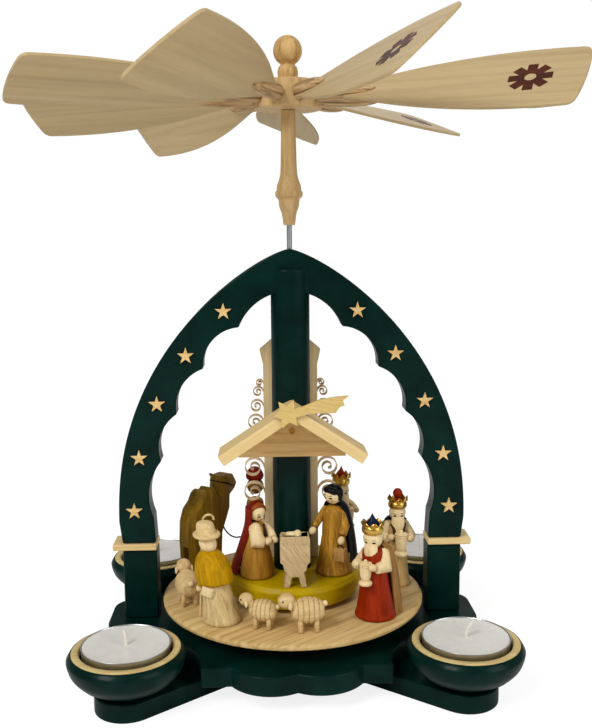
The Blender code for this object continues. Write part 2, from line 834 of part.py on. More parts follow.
def arch():
    """The scalloped board with ten glued stars and a bore for the rod in its crown."""
    outer = arch_outer()
    inner = arch_inner()
    right = outer[:-1]
    left = [(-x, z) for x, z in reversed(right)]
    inner_left = [(-x, z) for x, z in reversed(inner)]
    loop = right + [outer[-1]] + left + inner_left[:-1] + inner
    board = prism("arch", [loop], FRAME_DEPTH, upright=True)
    bore = limb(
        (0, 0, ARCH_APEX - ARCH_HEIGHT / 4),
        (0, 0, ARCH_APEX + OVERRUN),
        ROD_RADIUS + 2 * ROD_FIT,
        ROD_RADIUS + 2 * ROD_FIT,
        SMALL_STEPS,
    )
    board = cut(board, bore)
    depth = STAR_THICKNESS + EMBED
    for share in STAR_PLACE_SHARES:
        for side in (-1, 1):
            x, z = arch_point(share)
            outline = star((side * x, z), STAR_RADIUS, STAR_VALLEY_SHARE, 5, 90)
            front = -FRAME_DEPTH / 2 - STAR_THICKNESS / 2 + EMBED / 2
            board = join(board, prism("star", [outline], depth, upright=True, at=(0, front, 0)))
    finish(board, "arch", GREEN)


# Column and stage
def saddle_level():
    """The arch's inner edge at the column's side, where the saddle sits."""
    mark = arch_point(ARCH_INNER_SHARES[-1])
    half = mark[0]
    rise = ARCH_CROWN_SCALLOP_SHARE * 2 * half
    radius = (half**2 + rise**2) / (2 * rise)
    return mark[1] + rise - radius + math.sqrt(radius**2 - COLUMN_RADIUS**2)


def column():
    """A bored column; its saddle straddles the arch's crown and its spigot holds the stage."""
    profile = [
        (COLUMN_BORE_RADIUS, COLUMN_TOP),
        (COLUMN_RADIUS - SOFT_EDGE, COLUMN_TOP),
        (COLUMN_RADIUS, COLUMN_TOP - SOFT_EDGE),
        (COLUMN_RADIUS, ON_STAGE),
        (SPIGOT_RADIUS, ON_STAGE),
        (SPIGOT_RADIUS, STAGE_BOTTOM),
        (COLUMN_BORE_RADIUS, STAGE_BOTTOM),
    ]
    post = lathe("column", profile, ROUND_STEPS, closed=True)
    floor = saddle_level() - CLEARANCE
    top = COLUMN_TOP + OVERRUN
    saddle = block(
        "saddle",
        (2 * COLUMN_RADIUS + OVERRUN, FRAME_DEPTH + 2 * CLEARANCE, top - floor),
        (0, 0, (top + floor) / 2),
    )
    level = STAGE_TOP + PEG_RISE
    front = -COLUMN_RADIUS - OVERRUN
    hole = limb(
        (0, front, level),
        (0, -COLUMN_RADIUS + PEG_DEPTH + CLEARANCE, level),
        PEG_RADIUS + CLEARANCE,
        PEG_RADIUS + CLEARANCE,
        SMALL_STEPS,
    )
    finish(cut(post, saddle, hole), "column", GREEN)
    top = floor - CLEARANCE
    bush = [
        (ROD_RADIUS + ROD_FIT, top),
        (COLUMN_BORE_RADIUS - CLEARANCE, top),
        (COLUMN_BORE_RADIUS - CLEARANCE, top - BUSH_LENGTH),
        (ROD_RADIUS + ROD_FIT, top - BUSH_LENGTH),
    ]
    finish(lathe("bush", bush, SMALL_STEPS, closed=True), "guide_bush", BRASS)


def stage():
    outer = scaled(STAGE_SHARES, STAGE_RADIUS, STAGE_THICKNESS, STAGE_BOTTOM)
    bore = SPIGOT_RADIUS + CLEARANCE
    profile = [(bore, STAGE_TOP), *outer, (bore, STAGE_BOTTOM)]
    finish(lathe("stage", profile, ROUND_STEPS + ROUND_STEPS // 2, closed=True), "stage", OLIVE)


def curl_outline(centre, diameter, side):
    """A spiral band that leaves the board's edge and winds in towards its centre."""
    steps = int(CURL_TURNS * CURL_POINTS_PER_TURN)
    outer_radius = diameter / 2
    outside, inside = [], []
    for i in range(steps + 1):
        run = i / steps
        radius = outer_radius * (1 - (1 - CURL_CORE_SHARE) * run)
        turn = 2 * math.pi * CURL_TURNS * run
        direction = (-side * math.cos(turn), math.sin(turn))
        for band, reach in ((outside, radius), (inside, radius - SHAVING_THICKNESS)):
            band.append((centre[0] + reach * direction[0], centre[1] + reach * direction[1]))
    return outside + inside[::-1]


def backboard():
    """A peaked board behind the column with a row of shaved-wood curls on each edge."""
    half = BACKBOARD_WIDTH / 2
    right = [(half, ON_STAGE)]
    for x, z in BACKBOARD_HEAD_SHARES:
        right.append((x * half, ON_STAGE + z * BACKBOARD_HEIGHT))
    outline = right + [(-x, z) for x, z in reversed(right[:-1])]
    middle = COLUMN_RADIUS + CLEARANCE + BACKBOARD_THICKNESS / 2
    board = prism("backboard", [outline], BACKBOARD_THICKNESS, upright=True, at=(0, middle, 0))
    for level, size in zip(CURL_LEVEL_SHARES, CURL_SIZE_SHARES):
        for side in (-1, 1):
            diameter = size * CURL_DIAMETER
            centre = (side * (half + diameter / 2 - EMBED), ON_STAGE + level * BACKBOARD_HEIGHT)
            outline = curl_outline(centre, diameter, side)
            depth = BACKBOARD_THICKNESS - 2 * EMBED
            curl = prism("curl", [outline], depth, upright=True, at=(0, middle, 0))
            board = join(board, curl)
    finish(board, "backboard", MAPLE)


# House roof
def roof_line(x, drop=0.0):
    """The height of the roof's upper face, or of a line below it, at a distance from the ridge."""
    pitch = math.radians(ROOF_PITCH_DEG)
    ridge = STAGE_TOP + ROOF_RIDGE_RISE
    return ridge - drop / math.cos(pitch) - abs(x) * math.tan(pitch)


def roof():
    pitch = math.radians(ROOF_PITCH_DEG)
    middle = -COLUMN_RADIUS - CLEARANCE - ROOF_DEPTH / 2
    lap = ROOF_THICKNESS / math.sin(2 * pitch) * math.cos(pitch)
    end = (
        ROOF_HALF_SPAN - ROOF_THICKNESS * math.sin(pitch),
        roof_line(ROOF_HALF_SPAN) - ROOF_THICKNESS * math.cos(pitch),
    )
    long_board = [
        (0, roof_line(0)),
        (ROOF_HALF_SPAN, roof_line(ROOF_HALF_SPAN)),
        end,
        (-lap, roof_line(0, ROOF_THICKNESS) + lap * math.tan(pitch)),
    ]
    gap = CLEARANCE / math.cos(pitch)
    short_board = [
        (-lap - gap, roof_line(lap + gap)),
        (-ROOF_HALF_SPAN, roof_line(ROOF_HALF_SPAN)),
        (-end[0], end[1]),
        (-gap, roof_line(gap, ROOF_THICKNESS)),
    ]
    board = prism("roof", [long_board], ROOF_DEPTH, upright=True, at=(0, middle, 0))
    finish(board, "roof_board_right", MAPLE)
    board = prism("roof", [short_board], ROOF_DEPTH, upright=True, at=(0, middle, 0))
    finish(board, "roof_board_left", MAPLE)


def gable():
    base = STAGE_TOP + GABLE_BASE_RISE
    under = ROOF_THICKNESS + CLEARANCE
    eave = roof_line(GABLE_HALF_WIDTH, under)
    outline = [
        (-GABLE_HALF_WIDTH, base),
        (GABLE_HALF_WIDTH, base),
        (GABLE_HALF_WIDTH, eave),
        (0, roof_line(0, under)),
        (-GABLE_HALF_WIDTH, eave),
    ]
    middle = -COLUMN_RADIUS - CLEARANCE - GABLE_THICKNESS / 2
    panel = prism("gable", [outline], GABLE_THICKNESS, upright=True, at=(0, middle, 0))
    level = STAGE_TOP + PEG_RISE
    front = -COLUMN_RADIUS - CLEARANCE - GABLE_THICKNESS
    radius = PEG_RADIUS + CLEARANCE
    hole = limb((0, front - OVERRUN, level), (0, -COLUMN_RADIUS + OVERRUN, level), radius, radius, SMALL_STEPS)
    finish(cut(panel, hole), "gable", BEECH)
    peg = limb(
        (0, front - EMBED, level), (0, -COLUMN_RADIUS + PEG_DEPTH, level), PEG_RADIUS, PEG_RADIUS, SMALL_STEPS
    )
    finish(peg, "gable_peg", WALNUT)


def comet():
    """A six-pointed star with a swept tail, glued across the roof's front edges."""
    centre = (COMET_CENTRE_X, STAGE_TOP + ROOF_RIDGE_RISE - COMET_DROP)
    front = -COLUMN_RADIUS - 2 * CLEARANCE - ROOF_DEPTH - COMET_THICKNESS / 2
    outline = star(centre, COMET_RADIUS, COMET_VALLEY_SHARE, COMET_POINT_COUNT, COMET_FIRST_POINT_DEG)
    body = prism("comet", [outline], COMET_THICKNESS, upright=True, at=(0, front, 0))
    tail = [(centre[0] + x * COMET_RADIUS, centre[1] + z * COMET_RADIUS) for x, z in COMET_TAIL_SHARES]
    body = join(body, prism("tail", [tail], COMET_THICKNESS, upright=True, at=(0, front, 0)))
    finish(body, "comet_star", MAPLE)


# Turning parts
def rod():
    """A steel rod with a pointed foot, from the bearing cup up into the spindle."""
    top = HUB_BOTTOM - SPINDLE_LENGTH / 2
    tip = BOARD_TOP - BEARING_CONE_DEPTH + CLEARANCE
    profile = [(0, top), (ROD_RADIUS, top), (ROD_RADIUS, tip + 2 * ROD_RADIUS), (0, tip)]
    finish(lathe("rod", profile, SMALL_STEPS), "rod", STEEL)


def figure_plate():
    bore = ROD_RADIUS + CLEARANCE
    soft = PLATE_THICKNESS / 4
    profile = [
        (bore, PLATE_TOP),
        (PLATE_RADIUS - soft, PLATE_TOP),
        (PLATE_RADIUS, PLATE_TOP - soft),
        (PLATE_RADIUS, PLATE_BOTTOM + soft),
        (PLATE_RADIUS - 2 * soft, PLATE_BOTTOM),
        (bore, PLATE_BOTTOM),
    ]
    finish(lathe("plate", profile, 2 * ROUND_STEPS, closed=True), "figure_plate", PLATE_WOOD)
    top = PLATE_BOTTOM - CLEARANCE
    bottom = BOARD_TOP + BOSS_RUNNING_GAP
    boss = [
        (bore, top),
        (BOSS_RADIUS, top),
        (BOSS_RADIUS, bottom + soft),
        (BOSS_RADIUS - soft, bottom),
        (bore, bottom),
    ]
    finish(lathe("boss", boss, ROUND_STEPS, closed=True), "plate_boss", BEECH)


def spindle():
    """A turned spindle: bored for the rod below, with a tenon into the hub above."""
    outer = scaled(SPINDLE_SHARES, SPINDLE_RADIUS, SPINDLE_LENGTH - CLEARANCE, HUB_BOTTOM - SPINDLE_LENGTH)
    tenon = HUB_BORE_RADIUS - CLEARANCE
    bore = ROD_RADIUS + CLEARANCE
    shoulder = HUB_BOTTOM - CLEARANCE
    bore_top = HUB_BOTTOM - SPINDLE_LENGTH / 2 + CLEARANCE
    profile = [
        (0, HUB_BOTTOM + SPINDLE_TENON_LENGTH),
        (tenon, HUB_BOTTOM + SPINDLE_TENON_LENGTH),
        (tenon, shoulder),
        *outer,
        (bore, HUB_BOTTOM - SPINDLE_LENGTH),
        (bore, bore_top),
        (0, bore_top),
    ]
    finish(lathe("spindle", profile, SMALL_STEPS + 4), "spindle", BEECH)


def hub():
    """The wheel's hub: bored through, with a hole for each stem's tenon."""
    soft = HUB_HEIGHT / 12
    profile = [
        (HUB_BORE_RADIUS, HUB_TOP),
        (HUB_RADIUS - soft, HUB_TOP),
        (HUB_RADIUS, HUB_TOP - soft),
        (HUB_RADIUS, HUB_BOTTOM + soft),
        (HUB_RADIUS - soft, HUB_BOTTOM),
        (HUB_BORE_RADIUS, HUB_BOTTOM),
    ]
    wheel = lathe("hub", profile, 4 * BLADE_COUNT, closed=True)
    depth = HUB_RADIUS - STEM_TENON_LENGTH - CLEARANCE
    for i in range(BLADE_COUNT):
        way = blade_way(i)
        hole = limb(
            way * depth + Vector((0, 0, BLADE_LEVEL)),
            way * (HUB_RADIUS + OVERRUN) + Vector((0, 0, BLADE_LEVEL)),
            STEM_TENON_RADIUS + CLEARANCE,
            STEM_TENON_RADIUS + CLEARANCE,
            SOCKET_STEPS,
        )
        wheel = cut(wheel, hole)
    finish(wheel, "hub", BEECH)


def finial():
    outer = scaled(FINIAL_SHARES, FINIAL_RADIUS, FINIAL_HEIGHT, HUB_TOP + CLEARANCE)
    tenon = HUB_BORE_RADIUS - CLEARANCE
    profile = [*outer, (tenon, HUB_TOP + CLEARANCE), (tenon, HUB_TOP - FINIAL_TENON_LENGTH)]
    finish(lathe("finial", profile + [(0, HUB_TOP - FINIAL_TENON_LENGTH)], SMALL_STEPS + 4), "finial", BEECH)


def blade_turn(i):
    """The way of a blade's stem; the hub's holes are drilled with a slight fall outwards."""
    azimuth = math.radians(FIRST_BLADE_DEG - 360 / BLADE_COUNT * i)
    return Matrix.Rotation(azimuth, 4, "Z") @ Matrix.Rotation(math.radians(BLADE_DROOP_DEG), 4, "Y")


def blade_way(i):
    return blade_turn(i) @ Vector((1, 0, 0))


def blade_outline():
    upper = [(r * BLADE_RADIUS, w * BLADE_HALF_WIDTH) for r, w in BLADE_OUTLINE_SHARES]
    return [(r, -w) for r, w in upper[:-1]] + upper[::-1]


def blades():
    """Nine blades, each glued in its stem by eye; the origin is on the stem's axis in the hub."""
    for i, pitch in enumerate(BLADE_PITCHES_DEG):
        panel = prism("blade", [blade_outline()], BLADE_THICKNESS)
        askew = Matrix.Translation((STEM_END + BLADE_SLIDES[i], 0, 0))
        askew = askew @ Matrix.Rotation(math.radians(BLADE_SKEWS_DEG[i]), 4, "Z")
        panel = moved(panel, askew @ Matrix.Translation((-STEM_END, 0, 0)))
        root = HUB_RADIUS + CLEARANCE
        profile = [
            (0, STEM_END),
            (STEM_RADIUS * STEM_TIP_SHARE, STEM_END),
            (STEM_RADIUS, STEM_END - STEM_RADIUS),
            (STEM_RADIUS, root),
            (STEM_TENON_RADIUS, root),
            (STEM_TENON_RADIUS, HUB_RADIUS - STEM_TENON_LENGTH),
            (0, HUB_RADIUS - STEM_TENON_LENGTH),
        ]
        stem = moved(lathe("stem", profile, SMALL_STEPS), Matrix.Rotation(math.pi / 2, 4, "Y"))
        piece = finish(join(panel, stem), "blade_%d" % (i + 1), BLADE_WOOD)
        turn = blade_turn(i) @ Matrix.Rotation(math.radians(pitch), 4, "X")
        piece.matrix_world = Matrix.Translation((0, 0, BLADE_LEVEL)) @ turn


# Candle bowls
def bowls():
    bottom = ARM_THICKNESS + CLEARANCE
    rim = bottom + BOWL_HEIGHT
    outer = scaled(BOWL_OUTER_SHARES, BOWL_RADIUS, BOWL_HEIGHT, bottom)
    tenon = ARM_THICKNESS - BOWL_TENON_LENGTH
    floor = bottom + BOWL_FLOOR
    rebate = rim - RING_HEIGHT
    for place, (x, y) in CUP_PLACES.items():
        bowl = [
            (0, floor),
            (RECESS_RADIUS, floor),
            (RECESS_RADIUS, rebate),
            (REBATE_RADIUS, rebate),
            (REBATE_RADIUS, rim),
            *outer,
            (BOWL_TENON_RADIUS, bottom),
            (BOWL_TENON_RADIUS, tenon),
            (0, tenon),
        ]
        finish(lathe("bowl", bowl, ROUND_STEPS, at=(x, y, 0)), "bowl_" + place, GREEN)
        top = rim + RING_STAND
        low = rebate + CLEARANCE
        ring = [
            (RECESS_RADIUS, top - RING_STAND),
            (RECESS_RADIUS + RING_STAND, top),
            (REBATE_RADIUS - CLEARANCE - RING_STAND, top),
            (REBATE_RADIUS - CLEARANCE, top - RING_STAND),
            (REBATE_RADIUS - CLEARANCE, low),
            (RECESS_RADIUS, low),
        ]
        ring = lathe("ring", ring, ROUND_STEPS, closed=True, at=(x, y, 0))
        finish(ring, "rim_ring_" + place, MAPLE)
        tealight(place, x, y, floor + CLEARANCE)


def tealight(place, x, y, bottom):
    """A metal cup with its rolled lip, filled with wax, and a wick."""
    top = bottom + TEALIGHT_HEIGHT
    wax = top - TEALIGHT_LIP
    well = TEALIGHT_RADIUS - TEALIGHT_WALL
    profile = [
        (0, wax),
        (well, wax),
        (well, top),
        (TEALIGHT_RADIUS, top),
        (TEALIGHT_RADIUS - TEALIGHT_WALL / 2, bottom),
        (0, bottom),
    ]
    cup = lathe("tealight", profile, ROUND_STEPS, at=(x, y, 0))
    lean = WICK_LENGTH / 3
    wick = limb((x, y, wax - EMBED), (x - lean, y, wax + WICK_LENGTH), WICK_RADIUS, WICK_RADIUS, LIMB_STEPS)
    finish(join(cup, wick), "tealight_" + place, TIN)


# Figures, built facing +X with their soles at the origin
def stood(obj, place, heading, level):
    """Stand a figure in its place, turned to its heading."""
    return moved(obj, Matrix.Translation((*place, level)) @ Matrix.Rotation(heading, 4, "Z"))


def walking(place):
    """The heading of a figure that walks with the plate's turn, clockwise from above."""
    return math.atan2(-place[0], place[1])


def turned_figure(name, hat, robe=ROBE_SHARES):
    """Hat, head and robe, turned as one profile."""
    base, chin, brow, top, head_radius, hat_radius = FIGURE_SIZES[name]
    profile = scaled(hat, hat_radius, top - brow, brow)
    profile += scaled(HEAD_SHARES, head_radius, brow - chin, chin)
    profile += scaled(robe, base, chin)
    return lathe(name, profile + [(0, 0)], FIGURE_STEPS)


def at_share(name, shares):
    """A point of a figure in shares of its base radius and of the height of its chin."""
    base, chin = FIGURE_SIZES[name][:2]
    return Vector((shares[0] * base, shares[1] * base, shares[2] * chin))


def arms(name, left_hand, right_hand, lean=0.0):
    """Two bent arms, each from the shoulder over the elbow to its hand."""
    pieces = []
    for side, hand in ((1, left_hand), (-1, right_hand)):
        shoulder = at_share(name, (SHOULDER_SHARES[0], side * SHOULDER_SHARES[1], SHOULDER_SHARES[2]))
        elbow = at_share(name, (ELBOW_SHARES[0], side * ELBOW_SHARES[1], ELBOW_SHARES[2]))
        palm = at_share(name, hand)
        shoulder.x += lean * shoulder.z
        elbow.x += lean * elbow.z
        pieces.append(tube((shoulder, elbow, palm), SLEEVE_RADIUS))
        pieces.append(ball(palm, HAND_RADIUS, detail=1))
    return pieces


def cloak(name, from_share, to_share, radius_shares, lean_share):
    """A cloak that falls behind a figure from its shoulders or its head."""
    base, chin = FIGURE_SIZES[name][:2]
    top = from_share * chin
    low = to_share * chin
    narrow, wide = (share * base for share in radius_shares)
    cone = lathe("cloak", [(0, top), (narrow, top), (wide, low), (0, low)], FIGURE_STEPS)
    return leaning(cone, lean_share * base / (top - low), top)


def mother():
    name = "mother_figure"
    figure = join(
        turned_figure(name, HAIR_SHARES, BELL_ROBE_SHARES),
        cloak(name, 1.25, 0.012, (0.44, 0.66), 0.98),
        *arms(name, (0.95, 0.22, 0.56), (0.95, -0.22, 0.56)),
    )
    figure = stood(figure, FIGURE_PLACES[name], math.radians(MOTHER_HEADING_DEG), ON_STAGE)
    finish(figure, name, WALNUT)


def father():
    """A cloaked figure with a lantern bag in one hand."""
    name = "father_figure"
    left_hand = (0.5, 0.8, 0.53)
    palm = at_share(name, left_hand)
    hang = palm - Vector((0, 0, BAG_DROP))
    bag = join(
        block("bag", BAG_SIZE, hang - Vector((0, 0, BAG_SIZE[2] / 2))),
        limb(palm, hang - Vector((0, 0, EMBED)), BAG_HANDLE_RADIUS, BAG_HANDLE_RADIUS, LIMB_STEPS),
    )
    figure = join(
        turned_figure(name, HAIR_SHARES),
        cloak(name, 0.96, 0.14, (0.5, 0.8), 0.95),
        *arms(name, left_hand, (0.78, -0.9, 0.61)),
        bag,
    )
    figure = stood(figure, FIGURE_PLACES[name], math.radians(FATHER_HEADING_DEG), ON_STAGE)
    finish(figure, name, WALNUT)


def king(name, hat, side, mat):
    """A crowned figure that leans over the goblet in its hands, with a cloak behind."""
    base, chin = FIGURE_SIZES[name][:2]
    forward, level = GOBLET_PLACE_SHARES
    cup = scaled(GOBLET_SHARES, GOBLET_RADIUS, GOBLET_HEIGHT, level * chin)
    grip = (GOBLET_RADIUS + HAND_RADIUS / 4) / base
    hands = [(forward - 0.09, side + turn * grip, level + 0.16) for turn in (1, -1)]
    figure = join(
        leaning(turned_figure(name, hat), KING_LEAN_SHARE),
        cloak(name, 0.93, 0.0, (0.46, 0.8), 0.72),
        *arms(name, *hands, KING_LEAN_SHARE),
        lathe("goblet", cup, FIGURE_STEPS, at=(forward * base, side * base, 0)),
    )
    place = FIGURE_PLACES[name]
    finish(stood(figure, place, walking(place), ON_PLATE), name, mat)


def shepherd():
    """A stooping figure in a cape, with a crook and a satchel."""
    name = "shepherd"
    figure = leaning(turned_figure(name, BRIM_HAT_SHARES, CAPE_ROBE_SHARES), SHEPHERD_LEAN_SHARE)
    foot = at_share(name, CROOK_FOOT_SHARES)
    top = at_share(name, CROOK_TOP_SHARES)
    hook_way = Vector((-math.cos(math.radians(SHEPHERD_TURN_DEG)), -1, 0)).normalized()
    hook_middle = top + hook_way * CROOK_HOOK_RADIUS
    grip = foot.lerp(top, 0.5)
    base, chin = FIGURE_SIZES[name][:2]
    hand = (grip.x / base, grip.y / base, grip.z / chin)
    path = [foot + Vector((0, 0, CLEARANCE)), grip]
    for out, up in arc((0, 0), CROOK_HOOK_RADIUS, 180, 10, 6):
        path.append(hook_middle + hook_way * out + Vector((0, 0, up)))
    figure = join(
        figure,
        *arms(name, (0.9, 0.5, 0.55), hand, SHEPHERD_LEAN_SHARE),
        block("satchel", SATCHEL_SIZE, at_share(name, (0.1, 0.76, 0.4))),
        tube(path, CROOK_RADIUS),
    )
    place = FIGURE_PLACES[name]
    heading = walking(place) + math.radians(SHEPHERD_TURN_DEG)
    finish(stood(figure, place, heading, ON_PLATE), name, OCHRE)


def camel_driver():
    name = "camel_driver"
    figure = join(
        turned_figure(name, TURBAN_SHARES),
        *arms(name, (-0.4, 0.78, 0.36), (0.95, -0.45, 0.62)),
    )
    place = FIGURE_PLACES[name]
    finish(stood(figure, place, walking(place), ON_PLATE), name, OCHRE)


def manger():
    """A crib on splayed legs, hollowed for the child that lies in it."""
    right = [(x * MANGER_WIDTH, ON_STAGE + z * MANGER_HEIGHT) for x, z in MANGER_SHARES]
    foot, arch_top = right[:2]
    outer = right[2:]
    outline = [foot, *outer]
    outline += [(-x, z) for x, z in reversed(outline)]
    outline += [(-arch_top[0], arch_top[1]), arch_top]
    crib = prism("crib", [outline], MANGER_DEPTH, upright=True, at=(MANGER_X, MANGER_Y, 0))
    gap_height = arch_top[1] - ON_STAGE
    gap = block(
        "gap",
        (MANGER_WIDTH, MANGER_DEPTH / 2, gap_height + OVERRUN),
        (MANGER_X, MANGER_Y, ON_STAGE + (gap_height - OVERRUN) / 2),
    )
    top = ON_STAGE + MANGER_HEIGHT
    hollow = block(
        "hollow",
        (MANGER_WIDTH - 2 * CRIB_WALL, MANGER_DEPTH - 2 * CRIB_WALL, CRIB_DEPTH + OVERRUN),
        (MANGER_X, MANGER_Y, top - (CRIB_DEPTH - OVERRUN) / 2),
    )
    finish(cut(crib, gap, hollow), "manger", MAPLE)
    floor = top - CRIB_DEPTH + CLEARANCE
    head_x = MANGER_X + CHILD_HEAD_RADIUS / 2
    head = ball((head_x, MANGER_Y, floor + CHILD_HEAD_RADIUS), CHILD_HEAD_RADIUS)
    far_x = MANGER_X - MANGER_WIDTH / 2 + CRIB_WALL + CLEARANCE + CHILD_BODY_RADIUS
    level = floor + CHILD_BODY_RADIUS
    foot_end = ball((far_x, MANGER_Y, level), CHILD_BODY_RADIUS * 0.8, detail=2)
    body = limb((head_x, MANGER_Y, level), (far_x, MANGER_Y, level), CHILD_BODY_RADIUS, CHILD_BODY_RADIUS * 0.8)
    finish(join(head, body, foot_end), "child", MAPLE)


def sheep():
    """Ring-turned sheep: a ribbed barrel, a ball head with ears, a tail and four peg legs."""
    for name, length in SHEEP_SIZES.items():
        radius = length * 0.4
        level = length * 0.58
        points = []
        steps = 2 * SHEEP_RIBS
        for i in range(steps + 1):
            run = 2 * i / steps - 1
            swell = math.sqrt(1 - (0.88 * run) ** 2)
            groove = 0.9 if i % 2 else 1.0
            points.append((radius * swell * groove, -run * length / 2))
        barrel = lathe("barrel", [(0, length / 2), *points, (0, -length / 2)], FIGURE_STEPS)
        barrel = moved(barrel, Matrix.Translation((0, 0, level)) @ Matrix.Rotation(math.pi / 2, 4, "Y"))
        pieces = [
            ball((length * 0.68, 0, length * 0.94), length * 0.25, (1.05, 0.95, 0.9)),
            limb((length * 0.36, 0, length * 0.7), (length * 0.66, 0, length * 0.92), length * 0.16, length * 0.14),
            ball((-length * 0.54, 0, level + radius * 0.45), length * 0.09, detail=1),
        ]
        for side in (-1, 1):
            ear = (length * 0.6, side * length * 0.25, length * 0.86)
            pieces.append(ball(ear, length * 0.1, (0.6, 0.7, 1.2), detail=1))
            for x in (length * 0.27, -length * 0.27):
                foot = (x, side * radius * 0.5, 0)
                pieces.append(limb((x, side * radius * 0.42, level - radius / 2), foot, length * 0.08, length * 0.07, LIMB_STEPS))
        place = SHEEP_PLACES[name]
        finish(stood(join(barrel, *pieces), place, walking(place), ON_PLATE), name, MAPLE)


def camel():
    """A carved two-humped camel: its side outline with a thickness, slotted between its legs."""
    outline = [(x * CAMEL_LENGTH, z * CAMEL_HEIGHT) for x, z in CAMEL_SHARES]
    body = prism("camel", [outline], CAMEL_WIDTH, upright=True)
    slot_height = CAMEL_HEIGHT * 0.36
    slot = block(
        "slot",
        (2 * CAMEL_LENGTH, CAMEL_WIDTH * 0.36, slot_height + OVERRUN),
        (0, 0, (slot_height - OVERRUN) / 2),
    )
    body = cut(body, slot)
    for side in (-1, 1):
        neck_side = block(
            "side",
            (CAMEL_LENGTH / 2, CAMEL_WIDTH / 2, CAMEL_HEIGHT / 2),
            (CAMEL_LENGTH * 0.49, side * CAMEL_WIDTH * 0.52, CAMEL_HEIGHT * 0.86),
        )
        body = cut(body, neck_side)
    figure = stood(body, CAMEL_PLACE, walking(CAMEL_PLACE), ON_PLATE)
    finish(figure, "camel", CAMEL_BROWN, CAMEL_EDGE)


def lead_string():
    """The string that hangs from the camel's neck to the driver's hand."""
    finish(tube(STRING_ROUTE, STRING_RADIUS, 2, "string"), "lead_string", DARK_STRING)


base_arms()
base_board()
bearing_cup()
posts_and_trims()
arch()
column()
stage()
backboard()
roof()
gable()
comet()
rod()
figure_plate()
spindle()
hub()
finial()
blades()
bowls()
mother()
father()
manger()
king("king_front", CONE_CROWN_SHARES, 0.3, RED)
king("king_right", BALL_CROWN_SHARES, 0.3, MAPLE)
king("king_rear", CONE_CROWN_SHARES, -0.3, RED)
shepherd()
camel_driver()
sheep()
camel()
lead_string()
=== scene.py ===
"""The candle carousel's looks: turned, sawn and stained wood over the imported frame.

Pieces are shaped in millimetres and turned to metres when they are done. +Z is up and the
front faces -Y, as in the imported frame.
"""

import math

import bmesh
import bpy
from mathutils import Matrix, Vector


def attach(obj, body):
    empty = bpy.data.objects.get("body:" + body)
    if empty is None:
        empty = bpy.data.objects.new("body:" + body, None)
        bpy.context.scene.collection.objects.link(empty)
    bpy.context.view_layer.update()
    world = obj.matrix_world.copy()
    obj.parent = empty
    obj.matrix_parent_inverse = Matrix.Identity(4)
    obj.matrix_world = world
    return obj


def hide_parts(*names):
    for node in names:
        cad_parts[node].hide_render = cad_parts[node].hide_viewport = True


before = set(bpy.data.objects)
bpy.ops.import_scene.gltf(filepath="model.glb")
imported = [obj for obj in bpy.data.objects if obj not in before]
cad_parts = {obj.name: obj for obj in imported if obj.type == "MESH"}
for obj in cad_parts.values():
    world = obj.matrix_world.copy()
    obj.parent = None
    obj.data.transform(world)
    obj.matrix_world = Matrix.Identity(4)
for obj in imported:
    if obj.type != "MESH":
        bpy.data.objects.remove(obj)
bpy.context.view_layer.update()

MM = 0.001
moved = Matrix.Translation

# The camera: a little above the arch, a little left of the middle, looking slightly down
EYE = (-0.0114, -0.41607, 0.19546)
EYE_YAW, EYE_PITCH, EYE_ROLL = 0.033364, -0.14001, -0.0091069
FOCAL_PIXELS = 905.345
IMAGE_HEIGHT = 728
SENSOR = 36


def linked(name, data):
    """A new object in the scene."""
    made = bpy.data.objects.new(name, data)
    bpy.context.scene.collection.objects.link(made)
    return made


def place_camera():
    level = math.cos(EYE_PITCH)
    forward = Vector((math.sin(EYE_YAW) * level, math.cos(EYE_YAW) * level, math.sin(EYE_PITCH)))
    right = Vector((math.cos(EYE_YAW), -math.sin(EYE_YAW), 0))
    up = right.cross(forward)
    across = math.cos(EYE_ROLL) * right + math.sin(EYE_ROLL) * up
    upward = -math.sin(EYE_ROLL) * right + math.cos(EYE_ROLL) * up
    data = bpy.data.cameras.new("photo_view")
    data.sensor_fit = "VERTICAL"
    data.sensor_height = SENSOR
    data.sensor_width = SENSOR
    data.lens = FOCAL_PIXELS * SENSOR / IMAGE_HEIGHT
    data.clip_start = 0.01
    camera = linked("photo_view", data)
    camera.matrix_world = moved(EYE) @ Matrix((across, upward, -forward)).transposed().to_4x4()
    bpy.context.scene.camera = camera


place_camera()


# Shader helpers
def feed(tree, made, sockets):
    """Give sockets a number, a colour or another node's output."""
    for name, value in sockets.items():
        if isinstance(value, bpy.types.NodeSocket):
            tree.links.new(value, made.inputs[name])
        else:
            made.inputs[name].default_value = value


def node(tree, kind, sockets=None, stops=(), **settings):
    """Add a shader node with its settings and links; stops are (place, hex colour) on a colour ramp."""
    made = tree.nodes.new("ShaderNode" + kind)
    for name, value in settings.items():
        setattr(made, name, value)
    feed(tree, made, sockets or {})
    for place, _ in stops[2:]:
        made.color_ramp.elements.new(place)
    for i, (place, tint) in enumerate(stops):
        made.color_ramp.elements[i].position = place
        made.color_ramp.elements[i].color = colour(tint)
    return made


def colour(hex_text):
    """An sRGB hex colour as linear RGBA."""
    shares = [int(hex_text[i : i + 2], 16) / 255 for i in (0, 2, 4)]
    return (*[((s + 0.055) / 1.055) ** 2.4 if s > 0.04045 else s / 12.92 for s in shares], 1.0)


def blank(name):
    """A new material with its tree and its Principled shader."""
    made = bpy.data.materials.new(name)
    made.use_nodes = True
    return made, made.node_tree, made.node_tree.nodes["Principled BSDF"]


# Shape helpers
WELD = 0.0005


def about(axis, degrees):
    return Matrix.Rotation(math.radians(degrees), 4, axis)


def set_at(work, matrix, verts=None):
    """Move a shape, or some vertices of it."""
    bmesh.ops.transform(work, matrix=matrix, verts=verts or work.verts)


